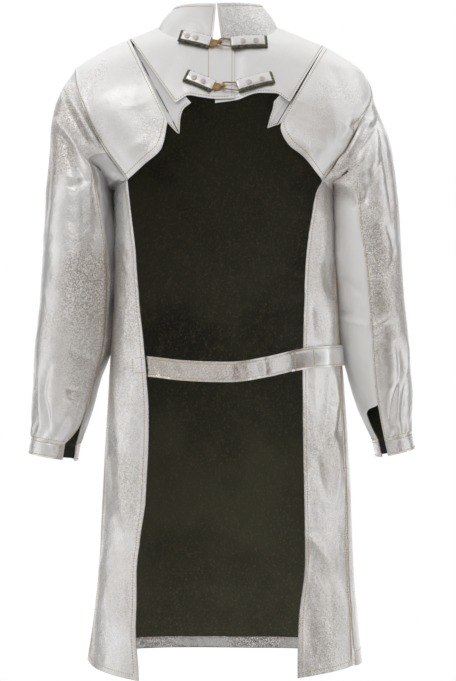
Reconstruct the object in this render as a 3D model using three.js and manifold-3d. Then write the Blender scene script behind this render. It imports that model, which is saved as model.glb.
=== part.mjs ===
import * as THREE from "three";
import { mergeVertices } from "three/addons/utils/BufferGeometryUtils.js";
import Module from "manifold-3d";

// Aluminized heat protective coat, open at the back, in the form it has when worn.
// Millimetres, Z up. The wearer faces +Y and the wearer's right is +X.
// The origin lies midway between the two neck points, where the coat rests on the shoulders.

// Cloth walls, and the open lines between pieces that are sewn or laid together
const CLOTH = 1.6;
const LINING = 1.0;
const LINING_GAP = 0.7;
const LINING_TRIM = 0.6;
const COLLAR_CLOTH = 2;
const PLEAT_CLOTH = 1.3;
const STRAP_CLOTH = 1.6;
const SEAM_GAP = 0.5;
const SLEEVE_GAP = 0.65;
const TUCK_GAP = 0.9;
const LAP_GAP = 0.9;

// Levels and widths shared by several pieces
const ARMPIT = -272;
const HEM_FRONT = -1041;
const HEM_SIDE = -1029;
const HEM_BACK = -1043;
const HEM_TURN = 20;
const NECK_HALF = 97;
const NECK_BACK = -38;
const NECK_FRONT = -75;
const SQUARE = 2.4;
const CREST_EASE = 1.8;
const YOKE_LAP = 26;
const YOKE_UNDERLAP = 4;

// Facets across each kind of piece
const FACETS = {
  frontAcross: 20,
  frontBelow: 10,
  frontAbove: 7,
  flapAcross: 6,
  flapUp: 15,
  yokeAcross: 9,
  yokeUp: 5,
  shoulderAcross: 7,
  shoulderUp: 8,
  pleatUp: 6,
  sleeveAlong: 15,
  collarAround: 24,
  collarUp: 3,
  cuffAround: 18,
  tapeAround: 4,
  strapAlong: 24,
  waistTabAlong: 8,
  tabAlong: 5,
};

// The coat's girth, a row for each height: half width, depth before and behind, sideways lean
const BODY = [
  { z: -1043, wide: 224, front: 140, back: 155, lean: 11 },
  { z: -890, wide: 208, front: 137, back: 147, lean: 15 },
  { z: -740, wide: 201, front: 134, back: 139, lean: 15 },
  { z: -570, wide: 190, front: 131, back: 132, lean: 14 },
  { z: -420, wide: 182, front: 128, back: 129, lean: 12 },
  { z: -272, wide: 180, front: 124, back: 128, lean: 8 },
  { z: -200, wide: 224, front: 112, back: 124, lean: 4 },
  { z: -126, wide: 256, front: 96, back: 112, lean: 0 },
  { z: -77, wide: 239, front: 79, back: 95, lean: 0 },
  { z: -39, wide: 186, front: 62, back: 77, lean: 0 },
  { z: -19, wide: 140, front: 50, back: 62, lean: 0 },
  { z: 0, wide: 97, front: 36, back: 42, lean: 0 },
];

// The collar's top edge, a row for each turn from the centre back by the left: height and reach
const COLLAR_TOP = [
  { turn: 0, z: 28, deep: 60 },
  { turn: 60, z: 31, deep: 60 },
  { turn: 90, z: 31, deep: 60 },
  { turn: 180, z: -8, deep: 62 },
  { turn: 270, z: 37, deep: 60 },
  { turn: 300, z: 33, deep: 60 },
  { turn: 360, z: 29, deep: 60 },
];
const COLLAR_TOP_HALF = 71;
const COLLAR_BULGE = 3;
const COLLAR_SEAT = 4;
const COLLAR_SLIT = { leftBase: 5.3, leftTop: 2.3, rightBase: 4.1, rightTop: -0.9 };

// Each side's own outlines: out is the distance from the middle towards that side
const SIDES = {
  left: {
    sign: -1,
    pleatTop: -21,
    shoulderTip: -70,
    backArmhole: [
      { t: 0, out: 233.5, z: -70 },
      { t: 0.2, out: 229, z: -98 },
      { t: 0.45, out: 208, z: -156 },
      { t: 0.7, out: 183, z: -204 },
      { t: 0.86, out: 164, z: -231 },
      { t: 1, out: 144, z: -258 },
    ],
    frontArmhole: [
      { t: 0, out: 172, z: ARMPIT },
      { t: 0.2, out: 164, z: -240 },
      { t: 0.5, out: 176, z: -190 },
      { t: 0.78, out: 205, z: -120 },
      { t: 1, out: 233.5, z: -70 },
    ],
    yokeHem: [
      { t: 0, out: -YOKE_LAP, z: -131 },
      { t: 0.3, out: 2, z: -132 },
      { t: 0.62, out: 28, z: -129 },
      { t: 0.84, out: 46, z: -126 },
      { t: 1, out: 67, z: -138 },
    ],
    shoulderHem: [
      { t: 0, out: 79, z: -168 },
      { t: 0.2, out: 82, z: -188 },
      { t: 0.4, out: 88, z: -210 },
      { t: 0.7, out: 116, z: -235 },
      { t: 1, out: 144, z: -258 },
    ],
    vent: 9,
    pleatTuck: 25,
    pleatTip: { out: 62, z: -184, deep: 17 },
    backEdge: [
      { z: -1043, out: 122 },
      { z: -950, out: 127 },
      { z: -855, out: 127 },
      { z: -760, out: 113 },
      { z: -637, out: 108 },
      { z: -553, out: 113 },
      { z: -448, out: 124 },
      { z: -353, out: 132 },
      { z: -258, out: 144 },
    ],
    sideSeam: [
      { z: -1043, turn: 97 },
      { z: -700, turn: 95 },
      { z: ARMPIT, turn: 90 },
    ],
    sleeve: [
      { along: 0.16, out: 225, y: -10, z: -214, across: 57, deep: 73, tilt: 38 },
      { along: 0.32, out: 227, y: -9, z: -308, across: 56.5, deep: 70, tilt: 14 },
      { along: 0.5, out: 230, y: -6, z: -410, across: 58.5, deep: 66, tilt: 4 },
      { along: 0.66, out: 237, y: 2, z: -510, across: 61, deep: 62, tilt: 0 },
      { along: 0.82, out: 251, y: 12, z: -600, across: 54, deep: 56, tilt: -3 },
      { along: 1, out: 269, y: 22, z: -684, across: 41, deep: 43, tilt: -6 },
    ],
    backSeam: [
      { along: 0, turn: 97.5 },
      { along: 0.25, turn: 125 },
      { along: 0.5, turn: 146 },
      { along: 1, turn: 146 },
    ],
  },
  right: {
    sign: 1,
    pleatTop: -33,
    shoulderTip: -88,
    backArmhole: [
      { t: 0, out: 244.9, z: -88 },
      { t: 0.15, out: 249, z: -118 },
      { t: 0.42, out: 226, z: -166 },
      { t: 0.68, out: 206, z: -211 },
      { t: 0.82, out: 188, z: -231 },
      { t: 1, out: 167, z: -258 },
    ],
    frontArmhole: [
      { t: 0, out: 188, z: ARMPIT },
      { t: 0.2, out: 181, z: -240 },
      { t: 0.5, out: 192, z: -193 },
      { t: 0.78, out: 220, z: -132 },
      { t: 1, out: 244.9, z: -88 },
    ],
    yokeHem: [
      { t: 0, out: -YOKE_UNDERLAP, z: -138 },
      { t: 0.3, out: 30, z: -133 },
      { t: 0.6, out: 66, z: -122 },
      { t: 0.82, out: 92, z: -122 },
      { t: 1, out: 118, z: -136 },
    ],
    shoulderHem: [
      { t: 0, out: 102, z: -167 },
      { t: 0.14, out: 99, z: -178 },
      { t: 0.36, out: 110, z: -202 },
      { t: 0.7, out: 137, z: -224 },
      { t: 1, out: 167, z: -258 },
    ],
    vent: 13,
    pleatTuck: 28,
    pleatTip: { out: 80, z: -176, deep: 17 },
    backEdge: [
      { z: -1043, out: 124 },
      { z: -950, out: 127 },
      { z: -855, out: 137 },
      { z: -760, out: 136 },
      { z: -637, out: 134 },
      { z: -553, out: 134 },
      { z: -448, out: 138 },
      { z: -353, out: 144 },
      { z: -280, out: 156 },
      { z: -258, out: 167 },
    ],
    sideSeam: [
      { z: -1043, turn: 116 },
      { z: -700, turn: 111 },
      { z: -450, turn: 101 },
      { z: ARMPIT, turn: 90 },
    ],
    sleeve: [
      { along: 0.16, out: 239, y: -10, z: -222, across: 53, deep: 73, tilt: 36 },
      { along: 0.32, out: 244.5, y: -9, z: -315, across: 53, deep: 70, tilt: 13 },
      { along: 0.5, out: 249, y: -6, z: -415, across: 53, deep: 66, tilt: 4 },
      { along: 0.66, out: 257.5, y: 2, z: -512, across: 55, deep: 62, tilt: 0 },
      { along: 0.82, out: 270, y: 12, z: -600, across: 50, deep: 56, tilt: -3 },
      { along: 1, out: 290, y: 22, z: -682, across: 33, deep: 45, tilt: -6 },
    ],
    backSeam: [
      { along: 0, turn: 97.5 },
      { along: 0.25, turn: 112 },
      { along: 0.55, turn: 100 },
      { along: 1, turn: 116 },
    ],
  },
};

// Sleeve turns at the armhole: from the tip by the back to the corner, the armpit and the front seam
const SLEEVE_TURN = { corner: 130, armpit: 188, full: 360 };
const BACK_SEAM_STEP = 6;
const FRONT_SEAM_STEP = 2;
const FRONT_SEAM_TURN = 236;
const VENT_START = 0.84;
const CUFF_DEEP = 24;
const CUFF_SEAT = 0.1;
const CUFF_CLOTH = 2;
const TAPE_LAP = 7;
const TAPE_DEEP = 19;
const TAPE_CLOTH = 1.4;

// Folds, a row for each: where its ridge starts and how far it runs, its breadth and its height
const FOLDS = {
  flap_left: [
    { u: 0.95, v: 0.25, du: -0.3, dv: 0.05, wide: 26, high: -7 },
    { u: 0.55, v: 0.62, du: 0.15, dv: -0.3, wide: 18, high: 6 },
    { u: 0.35, v: 0.05, du: 0.1, dv: 0.25, wide: 20, high: 6 },
  ],
  flap_right: [
    { u: 0.35, v: 0.5, du: 0.3, dv: -0.28, wide: 15, high: -7 },
    { u: 0.62, v: 0.52, du: 0.2, dv: -0.3, wide: 13, high: 6 },
    { u: 0.2, v: 0.36, du: 0.1, dv: -0.3, wide: 20, high: 7 },
  ],
  front_panel: [
    { u: 0.2, v: 0.05, du: 0.03, dv: 0.35, wide: 30, high: 7 },
    { u: 0.38, v: 0.02, du: -0.02, dv: 0.3, wide: 28, high: -6 },
    { u: 0.62, v: 0.02, du: 0.02, dv: 0.32, wide: 28, high: 6 },
    { u: 0.8, v: 0.04, du: -0.03, dv: 0.35, wide: 30, high: -6 },
  ],
  upper_sleeve_left: [
    { u: 0.62, v: 0.03, du: 0.3, dv: 0.05, wide: 14, high: 7 },
    { u: 0.66, v: 0.12, du: 0.3, dv: 0.12, wide: 16, high: 8 },
    { u: 0.6, v: 0.45, du: 0.35, dv: -0.05, wide: 14, high: -5 },
    { u: 0.4, v: 0.55, du: 0.3, dv: 0.06, wide: 16, high: 5 },
    { u: 0.6, v: 0.72, du: 0.3, dv: 0.08, wide: 16, high: -4 },
  ],
  upper_sleeve_right: [
    { u: 0.62, v: 0.04, du: 0.3, dv: 0.05, wide: 14, high: 6 },
    { u: 0.55, v: 0.3, du: 0.35, dv: 0.14, wide: 15, high: -6 },
    { u: 0.5, v: 0.42, du: 0.35, dv: 0.1, wide: 15, high: 6 },
    { u: 0.6, v: 0.62, du: 0.3, dv: 0.05, wide: 16, high: -4 },
    { u: 0.45, v: 0.75, du: 0.3, dv: 0.08, wide: 16, high: 4 },
  ],
};
const FOLD_FADE = 14;

// Waist strap, a row for each turn from the left flap to the right side: height, and lift off the girth
const STRAP = [
  { turn: -228, z: -552, lift: -2.8 },
  { turn: -217, z: -553, lift: -2.8 },
  { turn: -196, z: -559, lift: -8 },
  { turn: -180, z: -561, lift: -10 },
  { turn: -164, z: -553, lift: -5 },
  { turn: -149, z: -543, lift: 3 },
  { turn: -138, z: -539, lift: 3.4 },
  { turn: -103, z: -536, lift: 3.4 },
];
const STRAP_HALF = 16;
const WAIST_TAB = { from: -152, to: -101, half: 16.5, lift: 2.6 };

// Clasp tabs: inner and outer end, arch, tilt, and the two rivets' distances from the inner end
const TABS = [
  {
    name: "upper_left", inX: -12, inY: -79.1, inZ: -39, outX: -61, outY: -69.6, outZ: -26,
    bow: 2, tilt: 20, near: 23, far: 38,
  },
  {
    name: "upper_right", inX: 21, inY: -79, inZ: -39, outX: 79, outY: -73, outZ: -36,
    bow: 2, tilt: 20, near: 19, far: 40,
  },
  {
    name: "lower_left", inX: -7, inY: -109.1, inZ: -113, outX: -51, outY: -101.1, outZ: -94,
    bow: 1, tilt: 19, near: 17, far: 33,
  },
  {
    name: "lower_right", inX: 31, inY: -108.7, inZ: -113, outX: 88, outY: -99.2, outZ: -97,
    bow: 2, tilt: 19, near: 19, far: 41,
  },
];
const TAB = { half: 10, thick: 5.4, slotFrom: 1, slotTo: 4.4, slotDeep: 9 };
const RIVET = { head: 4.6, rise: 1.3, shank: 1.8, hole: 2.2, seat: 0.3, sides: 10 };
const HOOK = {
  tongue: 6, plate: 11, thick: 1.8, flare: 8.5, waist: 5.2, curl: 15.5, curlIn: 2.2, curlOut: 3.9,
};
const HOOK_HALF = 2.2;
const WIRE = { radius: 1, baseHalf: 8, apexHalf: 3.6, anchor: 5, sides: 6, steps: 26 };

const wasm = await Module();
wasm.setup();

const MATERIALS = {
  silver: new THREE.MeshStandardMaterial({ color: 0xc8c9ca, roughness: 0.42, metalness: 0.7 }),
  pleat: new THREE.MeshStandardMaterial({ color: 0xb4b8bd, roughness: 0.5, metalness: 0.6 }),
  felt: new THREE.MeshStandardMaterial({ color: 0x24231f, roughness: 0.95, metalness: 0 }),
  webbing: new THREE.MeshStandardMaterial({ color: 0x7d7a55, roughness: 0.9, metalness: 0 }),
  brass: new THREE.MeshStandardMaterial({ color: 0xb18a3c, roughness: 0.35, metalness: 1 }),
  bronze: new THREE.MeshStandardMaterial({ color: 0x7c6644, roughness: 0.4, metalness: 1 }),
  rivet: new THREE.MeshStandardMaterial({ color: 0xa99b95, roughness: 0.45, metalness: 0.9 }),
  black: new THREE.MeshStandardMaterial({ color: 0x151515, roughness: 0.9, metalness: 0 }),
};

const { lerp, clamp, degToRad, smoothstep } = THREE.MathUtils;
const coat = new THREE.Group();

// A column of a table at a place between its rows, smooth and without overshoot
function read(rows, key, at, column) {
  const last = rows.length - 1;
  const place = clamp(at, rows[0][key], rows[last][key]);
  let i = 0;
  while (i < last - 1 && place > rows[i + 1][key]) {
    i += 1;
  }
  const slope = (j) => (rows[j + 1][column] - rows[j][column]) / (rows[j + 1][key] - rows[j][key]);
  const tangent = (j) => {
    if (j === 0 || j === last) {
      return slope(Math.min(j, last - 1));
    }
    const product = slope(j - 1) * slope(j);
    return product > 0 ? (2 * product) / (slope(j - 1) + slope(j)) : 0;
  };
  const span = rows[i + 1][key] - rows[i][key];
  const t = (place - rows[i][key]) / span;
  const rise = t * t * (3 - 2 * t);
  const start = t * (1 - t) * (1 - t) * span * tangent(i);
  const end = t * t * (1 - t) * span * tangent(i + 1);
  return lerp(rows[i][column], rows[i + 1][column], rise) + start - end;
}

function signedPower(value, power) {
  return Math.sign(value) * Math.abs(value) ** power;
}

// A point of the coat's girth: turn is 0 at the front, 90 degrees at the wearer's right
function girth(turn, z) {
  const s = Math.sin(turn);
  const c = Math.cos(turn);
  const deep = read(BODY, "z", z, c >= 0 ? "front" : "back");
  const x = read(BODY, "z", z, "lean") + read(BODY, "z", z, "wide") * signedPower(s, 2 / SQUARE);
  return new THREE.Vector3(x, deep * signedPower(c, 2 / SQUARE), z);
}

function frontTurn(x, z) {
  const share = (x - read(BODY, "z", z, "lean")) / read(BODY, "z", z, "wide");
  return Math.asin(signedPower(clamp(share, -1, 1), SQUARE / 2));
}

function onFront(at) {
  return girth(frontTurn(at.x, at.y), at.y);
}

function onBack(at) {
  return girth(Math.PI - frontTurn(at.x, at.y), at.y);
}

// The outward direction of the coat's back at a place
function backNormal(at) {
  const step = 0.5;
  const near = (x, z) => onBack(new THREE.Vector2(at.x + x, at.y + z));
  const across = near(step, 0).sub(near(-step, 0));
  const up = near(0, step).sub(near(0, -step));
  return across.cross(up).normalize();
}

// Places seen from behind, as x and z, kept within the coat's girth
function within(x, z) {
  const lean = read(BODY, "z", z, "lean");
  const wide = read(BODY, "z", z, "wide");
  return new THREE.Vector2(clamp(x, lean - wide, lean + wide), z);
}

function outline(side, rows, t) {
  return within(side.sign * read(rows, "t", t, "out"), read(rows, "t", t, "z"));
}

function crest(side, z) {
  return within(side.sign * NECK_HALF * 4, z);
}

function ease(v) {
  return 1 - (1 - v) ** CREST_EASE;
}

function easeBack(w) {
  return 1 - (1 - w) ** (1 / CREST_EASE);
}

// Fills a four-sided place between its edges; u runs along bottom and top, v along first and last
function filled(bottom, top, first, last) {
  return (u, v) => {
    const place = bottom(u).multiplyScalar(1 - v).add(top(u).multiplyScalar(v));
    place.add(first(v).multiplyScalar(1 - u)).add(last(v).multiplyScalar(u));
    place.sub(bottom(0).multiplyScalar((1 - u) * (1 - v))).sub(bottom(1).multiplyScalar(u * (1 - v)));
    return place.sub(top(0).multiplyScalar((1 - u) * v)).sub(top(1).multiplyScalar(u * v));
  };
}

function slopeOf(sheet, u, v) {
  const step = 0.004;
  const across = sheet(Math.min(u + step, 1), v).sub(sheet(Math.max(u - step, 0), v));
  const up = sheet(u, Math.min(v + step, 1)).sub(sheet(u, Math.max(v - step, 0)));
  return across.cross(up).normalize();
}

// Raises a sheet's folds along its outward side and lets them die out at the sewn edges
function withFolds(sheet, folds, size, facing, sewn) {
  return (u, v) => {
    const point = sheet(u, v);
    let rise = 0;
    for (const fold of folds) {
      const run = new THREE.Vector2(fold.du * size.u, fold.dv * size.v);
      const from = new THREE.Vector2((u - fold.u) * size.u, (v - fold.v) * size.v);
      const share = clamp(from.dot(run) / run.lengthSq(), 0, 1);
      const away = from.sub(run.multiplyScalar(share)).length() / fold.wide;
      rise += fold.high * Math.exp(-away * away);
    }
    const edges = { u0: u * size.u, u1: (1 - u) * size.u, v0: v * size.v, v1: (1 - v) * size.v };
    const nearest = Math.min(...sewn.map((edge) => edges[edge]));
    const fade = smoothstep(nearest, 0, FOLD_FADE);
    return point.add(slopeOf(sheet, u, v).multiplyScalar(facing * rise * fade));
  };
}

function shares(count) {
  return Array.from({ length: count + 1 }, (_, i) => i / count);
}

// The net of a sheet's facets, with its edges drawn in by half a seam's gap, and the outward directions
function net(sheet, us, vs, facing, gap = SEAM_GAP / 2) {
  const points = vs.map((v) => us.map((u) => sheet(u, v)));
  const normals = vs.map((v) => us.map((u) => slopeOf(sheet, u, v).multiplyScalar(facing)));
  const pull = (point, next) => point.add(next.clone().sub(point).normalize().multiplyScalar(gap));
  if (gap > 0) {
    points.forEach((row) => {
      pull(row[0], row[1]);
      pull(row.at(-1), row.at(-2));
    });
    us.forEach((_, i) => {
      pull(points[0][i], points[1][i]);
      pull(points.at(-1)[i], points.at(-2)[i]);
    });
  }
  return { points, normals, facing };
}

// Some of a net's rows and columns, with the first of those rows drawn up by a trim
function someOf(whole, { rows, columns, trim }) {
  const cut = (lines) => lines.slice(rows[0], rows[1] + 1).map((line) => (
    line.slice(columns[0], columns[1] + 1).map((vector) => vector.clone())
  ));
  const points = cut(whole.points);
  points[0].forEach((point, i) => {
    point.addScaledVector(points[1][i].clone().sub(point).normalize(), trim);
  });
  return { points, normals: cut(whole.normals), facing: whole.facing };
}

// A closed cloth wall from a net: its outer face, an inner face one thickness in, and its rims
function wall({ points, normals, facing }, thick, inset = 0) {
  const across = points[0].length;
  const up = points.length;
  const face = (depth) => points.flatMap((row, j) => row.map((point, i) => (
    point.clone().addScaledVector(normals[j][i], -depth)
  )));
  const count = across * up;
  const index = [];
  const quad = (a, b, c, d) => {
    if (facing > 0) {
      index.push(a, b, c, a, c, d);
    } else {
      index.push(a, c, b, a, d, c);
    }
  };
  for (let j = 0; j < up - 1; j += 1) {
    for (let i = 0; i < across - 1; i += 1) {
      const a = j * across + i;
      quad(a, a + 1, a + across + 1, a + across);
      quad(count + a, count + a + across, count + a + across + 1, count + a + 1);
    }
  }
  for (let i = 0; i < across - 1; i += 1) {
    const top = (up - 1) * across + i;
    quad(i, count + i, count + i + 1, i + 1);
    quad(top, top + 1, count + top + 1, count + top);
  }
  for (let j = 0; j < up - 1; j += 1) {
    const a = j * across;
    const b = a + across - 1;
    quad(a, a + across, count + a + across, count + a);
    quad(b, count + b, count + b + across, b + across);
  }
  const geometry = new THREE.BufferGeometry();
  const places = face(inset).concat(face(inset + thick)).flatMap((p) => [p.x, p.y, p.z]);
  geometry.setAttribute("position", new THREE.Float32BufferAttribute(places, 3));
  geometry.setIndex(index);
  return geometry;
}

function addPiece(name, geometry, material) {
  const mesh = new THREE.Mesh(geometry, MATERIALS[material]);
  mesh.name = name;
  coat.add(mesh);
}

// Front panel: wraps round to the side seams below the armpits, and reaches the neck and shoulders above
const FRONT_SHARE = FACETS.frontBelow / (FACETS.frontBelow + FACETS.frontAbove);
const NECK_SHARE = 0.3;

function frontBelow(u, v) {
  const middle = 1 - Math.abs(2 * u - 1);
  const z = lerp(lerp(HEM_SIDE, HEM_FRONT, Math.sqrt(middle)), ARMPIT, v);
  const left = -read(SIDES.left.sideSeam, "z", z, "turn");
  const right = read(SIDES.right.sideSeam, "z", z, "turn");
  return girth(degToRad(lerp(left, right, u)), z);
}

function neckAndShoulders(u) {
  const side = u < 0.5 ? SIDES.left : SIDES.right;
  const reach = u < 0.5 ? u : 1 - u;
  if (reach < NECK_SHARE) {
    return crest(side, lerp(side.shoulderTip, 0, reach / NECK_SHARE));
  }
  const turn = degToRad(lerp(90, 0, (reach - NECK_SHARE) / (0.5 - NECK_SHARE)));
  return new THREE.Vector2(side.sign * NECK_HALF * Math.sin(turn), NECK_FRONT * Math.cos(turn));
}

const frontAbove = filled(
  (u) => {
    const start = frontBelow(u, 1);
    return new THREE.Vector2(start.x, start.z);
  },
  neckAndShoulders,
  (w) => outline(SIDES.left, SIDES.left.frontArmhole, easeBack(w)),
  (w) => outline(SIDES.right, SIDES.right.frontArmhole, easeBack(w)),
);

function frontPlain(u, v) {
  if (v <= FRONT_SHARE) {
    return frontBelow(u, v / FRONT_SHARE);
  }
  return onFront(frontAbove(u, ease((v - FRONT_SHARE) / (1 - FRONT_SHARE))));
}

const frontSize = { u: 640, v: 1000 };
const frontSheet = withFolds(frontPlain, FOLDS.front_panel, frontSize, -1, ["u0", "u1", "v1"]);
const hemShare = (HEM_TURN / (ARMPIT - HEM_FRONT)) * FRONT_SHARE;
const frontVs = shares(FACETS.frontBelow + FACETS.frontAbove);
frontVs.splice(1, 0, hemShare);
const frontNet = net(frontSheet, shares(FACETS.frontAcross), frontVs, -1);
addPiece("front_panel", wall(frontNet, CLOTH), "silver");

// Lining and turned-up hem lie one gap inside the front panel, on the same facets
const liningDepth = CLOTH + LINING_GAP;
const liningColumns = [1, FACETS.frontAcross - 1];
const liningNet = someOf(frontNet, {
  rows: [1, frontVs.length - 2], columns: liningColumns, trim: LINING_TRIM,
});
addPiece("front_lining", wall(liningNet, LINING, liningDepth), "felt");
const hemNet = someOf(frontNet, { rows: [0, 1], columns: liningColumns, trim: LINING_TRIM });
addPiece("front_hem", wall(hemNet, LINING, liningDepth), "silver");

function neckBack(side, out) {
  const turn = Math.asin(clamp(out / NECK_HALF, -1, 1));
  return new THREE.Vector2(side.sign * out, NECK_BACK * Math.cos(turn));
}

// Back skirts: from the side seam to the free back edge, up to the underarm
function flapPlain(side) {
  const corner = side.backEdge.at(-1);
  return (u, v) => {
    const top = lerp(ARMPIT, corner.z, u ** 1.4);
    const z = lerp(lerp(HEM_SIDE, HEM_BACK, u), top, v);
    const edge = side.sign * read(side.backEdge, "z", z, "out");
    const edgeTurn = Math.PI - side.sign * frontTurn(edge, z);
    const seamTurn = degToRad(read(side.sideSeam, "z", z, "turn"));
    return girth(side.sign * lerp(seamTurn, edgeTurn, u), z);
  };
}

for (const name of ["left", "right"]) {
  const side = SIDES[name];
  const sheet = withFolds(
    flapPlain(side), FOLDS[`flap_${name}`], { u: 150, v: 770 }, -side.sign, ["u0", "v1"],
  );
  const flapNet = net(sheet, shares(FACETS.flapAcross), shares(FACETS.flapUp), -side.sign);
  addPiece(`flap_${name}`, wall(flapNet, CLOTH), "silver");
}

// Yokes: neck seam and shoulder crest above, pleat edge outside, free hem below, lapped at the centre
const YOKE_NECK_SHARE = 0.64;

function yokePlace(side, lap) {
  const hem = side.yokeHem.at(-1);
  const start = side.yokeHem[0];
  const inner = neckBack(side, -lap);
  const pleatTop = crest(side, side.pleatTop);
  return filled(
    (u) => outline(side, side.yokeHem, u),
    (u) => {
      if (u > YOKE_NECK_SHARE) {
        const along = (u - YOKE_NECK_SHARE) / (1 - YOKE_NECK_SHARE);
        return crest(side, lerp(0, side.pleatTop, along));
      }
      const first = Math.asin(-lap / NECK_HALF);
      const turn = lerp(first, Math.PI / 2, u / YOKE_NECK_SHARE);
      return neckBack(side, NECK_HALF * Math.sin(turn));
    },
    (v) => new THREE.Vector2(side.sign * start.out, start.z).lerp(inner, v),
    (v) => new THREE.Vector2(side.sign * hem.out, hem.z).lerp(pleatTop, v),
  );
}

for (const [name, lap] of [["left", YOKE_LAP], ["right", YOKE_UNDERLAP]]) {
  const side = SIDES[name];
  const place = yokePlace(side, lap);
  const sheet = (u, v) => {
    const at = place(u, ease(v));
    const sunk = name === "right" ? 1 - smoothstep(at.x, YOKE_LAP, YOKE_LAP + 22) : 0;
    return onBack(at).sub(backNormal(at).multiplyScalar(sunk * (CLOTH + LAP_GAP)));
  };
  const yokeNet = net(sheet, shares(FACETS.yokeAcross), shares(FACETS.yokeUp), side.sign);
  addPiece(`yoke_${name}`, wall(yokeNet, CLOTH), "silver");
}

// Shoulder panels: pleat edge inside, armhole outside, shoulder crest above, free lower edge
function shoulderSheet(side) {
  const corner = side.shoulderHem[0];
  const pleatTop = crest(side, side.pleatTop);
  const place = filled(
    (u) => outline(side, side.shoulderHem, u),
    (u) => crest(side, lerp(side.pleatTop, side.shoulderTip, u)),
    (v) => new THREE.Vector2(side.sign * corner.out, corner.z).lerp(pleatTop, v),
    (w) => outline(side, side.backArmhole, 1 - easeBack(w)),
  );
  return (u, v) => onBack(place(u, ease(v)));
}

for (const name of ["left", "right"]) {
  const side = SIDES[name];
  const us = shares(FACETS.shoulderAcross);
  const shoulderNet = net(shoulderSheet(side), us, shares(FACETS.shoulderUp), side.sign);
  addPiece(`shoulder_${name}`, wall(shoulderNet, CLOTH), "silver");
}

// Pleats: a trough tucked under the yoke's edge and the shoulder panel's edge, ending in a point
const PLEAT_TOP_SHARE = 0.9;
const PLEAT_CREASE = 0.6;

function pleatSheet(side) {
  const yokeCorner = side.yokeHem.at(-1);
  const panelCorner = side.shoulderHem[0];
  const top = crest(side, side.pleatTop);
  const towards = (out, z, v) => new THREE.Vector2(side.sign * out, z).lerp(top, v);
  const sunk = (at, depth) => onBack(at).sub(backNormal(at).multiplyScalar(depth));
  return (u, share) => {
    const v = share * PLEAT_TOP_SHARE;
    const tucked = towards(yokeCorner.out, yokeCorner.z, v);
    tucked.x -= side.sign * side.pleatTuck * (1 - v);
    const crease = towards(side.pleatTip.out, side.pleatTip.z, v);
    const panel = towards(panelCorner.out, panelCorner.z, v);
    const under = CLOTH + TUCK_GAP * (1 + 1.5 * v);
    const first = sunk(tucked, under);
    const low = sunk(crease, under + 2 + side.pleatTip.deep * (1 - v));
    const last = sunk(panel, under);
    if (u < PLEAT_CREASE) {
      return first.lerp(low, u / PLEAT_CREASE);
    }
    return low.lerp(last, (u - PLEAT_CREASE) / (1 - PLEAT_CREASE));
  };
}

for (const name of ["left", "right"]) {
  const side = SIDES[name];
  const us = [0, 0.2, 0.4, PLEAT_CREASE, 0.8, 1];
  const pleatNet = net(pleatSheet(side), us, shares(FACETS.pleatUp), side.sign, 0);
  addPiece(`pleat_${name}`, wall(pleatNet, PLEAT_CLOTH), "pleat");
}

// Sleeves: the first ring is the armhole itself, the others are tilted ovals down to the wrist
function armholePoint(side, turn) {
  const { corner, armpit, full } = SLEEVE_TURN;
  const at = ((turn % full) + full) % full;
  if (at <= corner) {
    return onBack(outline(side, side.backArmhole, at / corner));
  }
  if (at <= armpit) {
    return flapPlain(side)(1 - (at - corner) / (armpit - corner), 1);
  }
  return onFront(outline(side, side.frontArmhole, (at - armpit) / (full - armpit)));
}

function sleeveRing(side, row, turn) {
  const angle = degToRad(turn);
  const tilt = degToRad(row.tilt);
  const across = row.across * Math.cos(angle);
  return new THREE.Vector3(
    side.sign * (row.out + across * Math.cos(tilt)),
    row.y - row.deep * Math.sin(angle),
    row.z + across * Math.sin(tilt),
  );
}

function sleevePoint(side, startTurn, turn, along) {
  const start = armholePoint(side, startTurn);
  const rows = [{ along: 0, x: start.x, y: start.y, z: start.z }];
  for (const row of side.sleeve) {
    const point = sleeveRing(side, row, turn);
    rows.push({ along: row.along, x: point.x, y: point.y, z: point.z });
  }
  return new THREE.Vector3(
    read(rows, "along", along, "x"),
    read(rows, "along", along, "y"),
    read(rows, "along", along, "z"),
  );
}

// Turns of the armhole's steps, so that the sleeve's facets meet the panels' facets
function armholeTurns() {
  const { corner, armpit, full } = SLEEVE_TURN;
  const back = shares(FACETS.shoulderUp).map((t) => corner * t);
  const under = shares(FACETS.flapAcross).slice(1).map((t) => lerp(corner, armpit, t));
  const front = shares(FACETS.frontAbove).slice(1).map((t) => lerp(armpit, full, t));
  return back.concat(under, front);
}

const turns = armholeTurns();
const frontSeamIndex = FACETS.shoulderUp + FACETS.flapAcross + FRONT_SEAM_STEP;
const upperTurns = turns.slice(frontSeamIndex, -1).map((turn) => turn - SLEEVE_TURN.full);
upperTurns.push(...turns.slice(0, BACK_SEAM_STEP + 1));
const underTurns = turns.slice(BACK_SEAM_STEP, frontSeamIndex + 1);

function sleeveSheet(side, startTurns) {
  const first = startTurns[0];
  const last = startTurns.at(-1);
  const upper = first < 0;
  return (u, along) => {
    const startTurn = lerp(first, last, u);
    const open = side.vent * smoothstep(along, VENT_START, 1);
    const back = read(side.backSeam, "along", along, "turn") + (upper ? -open : open);
    const settle = smoothstep(along, 0, 0.3);
    const frontStart = upper ? first : last;
    const front = lerp(frontStart, FRONT_SEAM_TURN - (upper ? SLEEVE_TURN.full : 0), settle);
    const turn = upper ? lerp(front, back, u) : lerp(back, front, u);
    return sleevePoint(side, startTurn, turn, along);
  };
}

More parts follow.
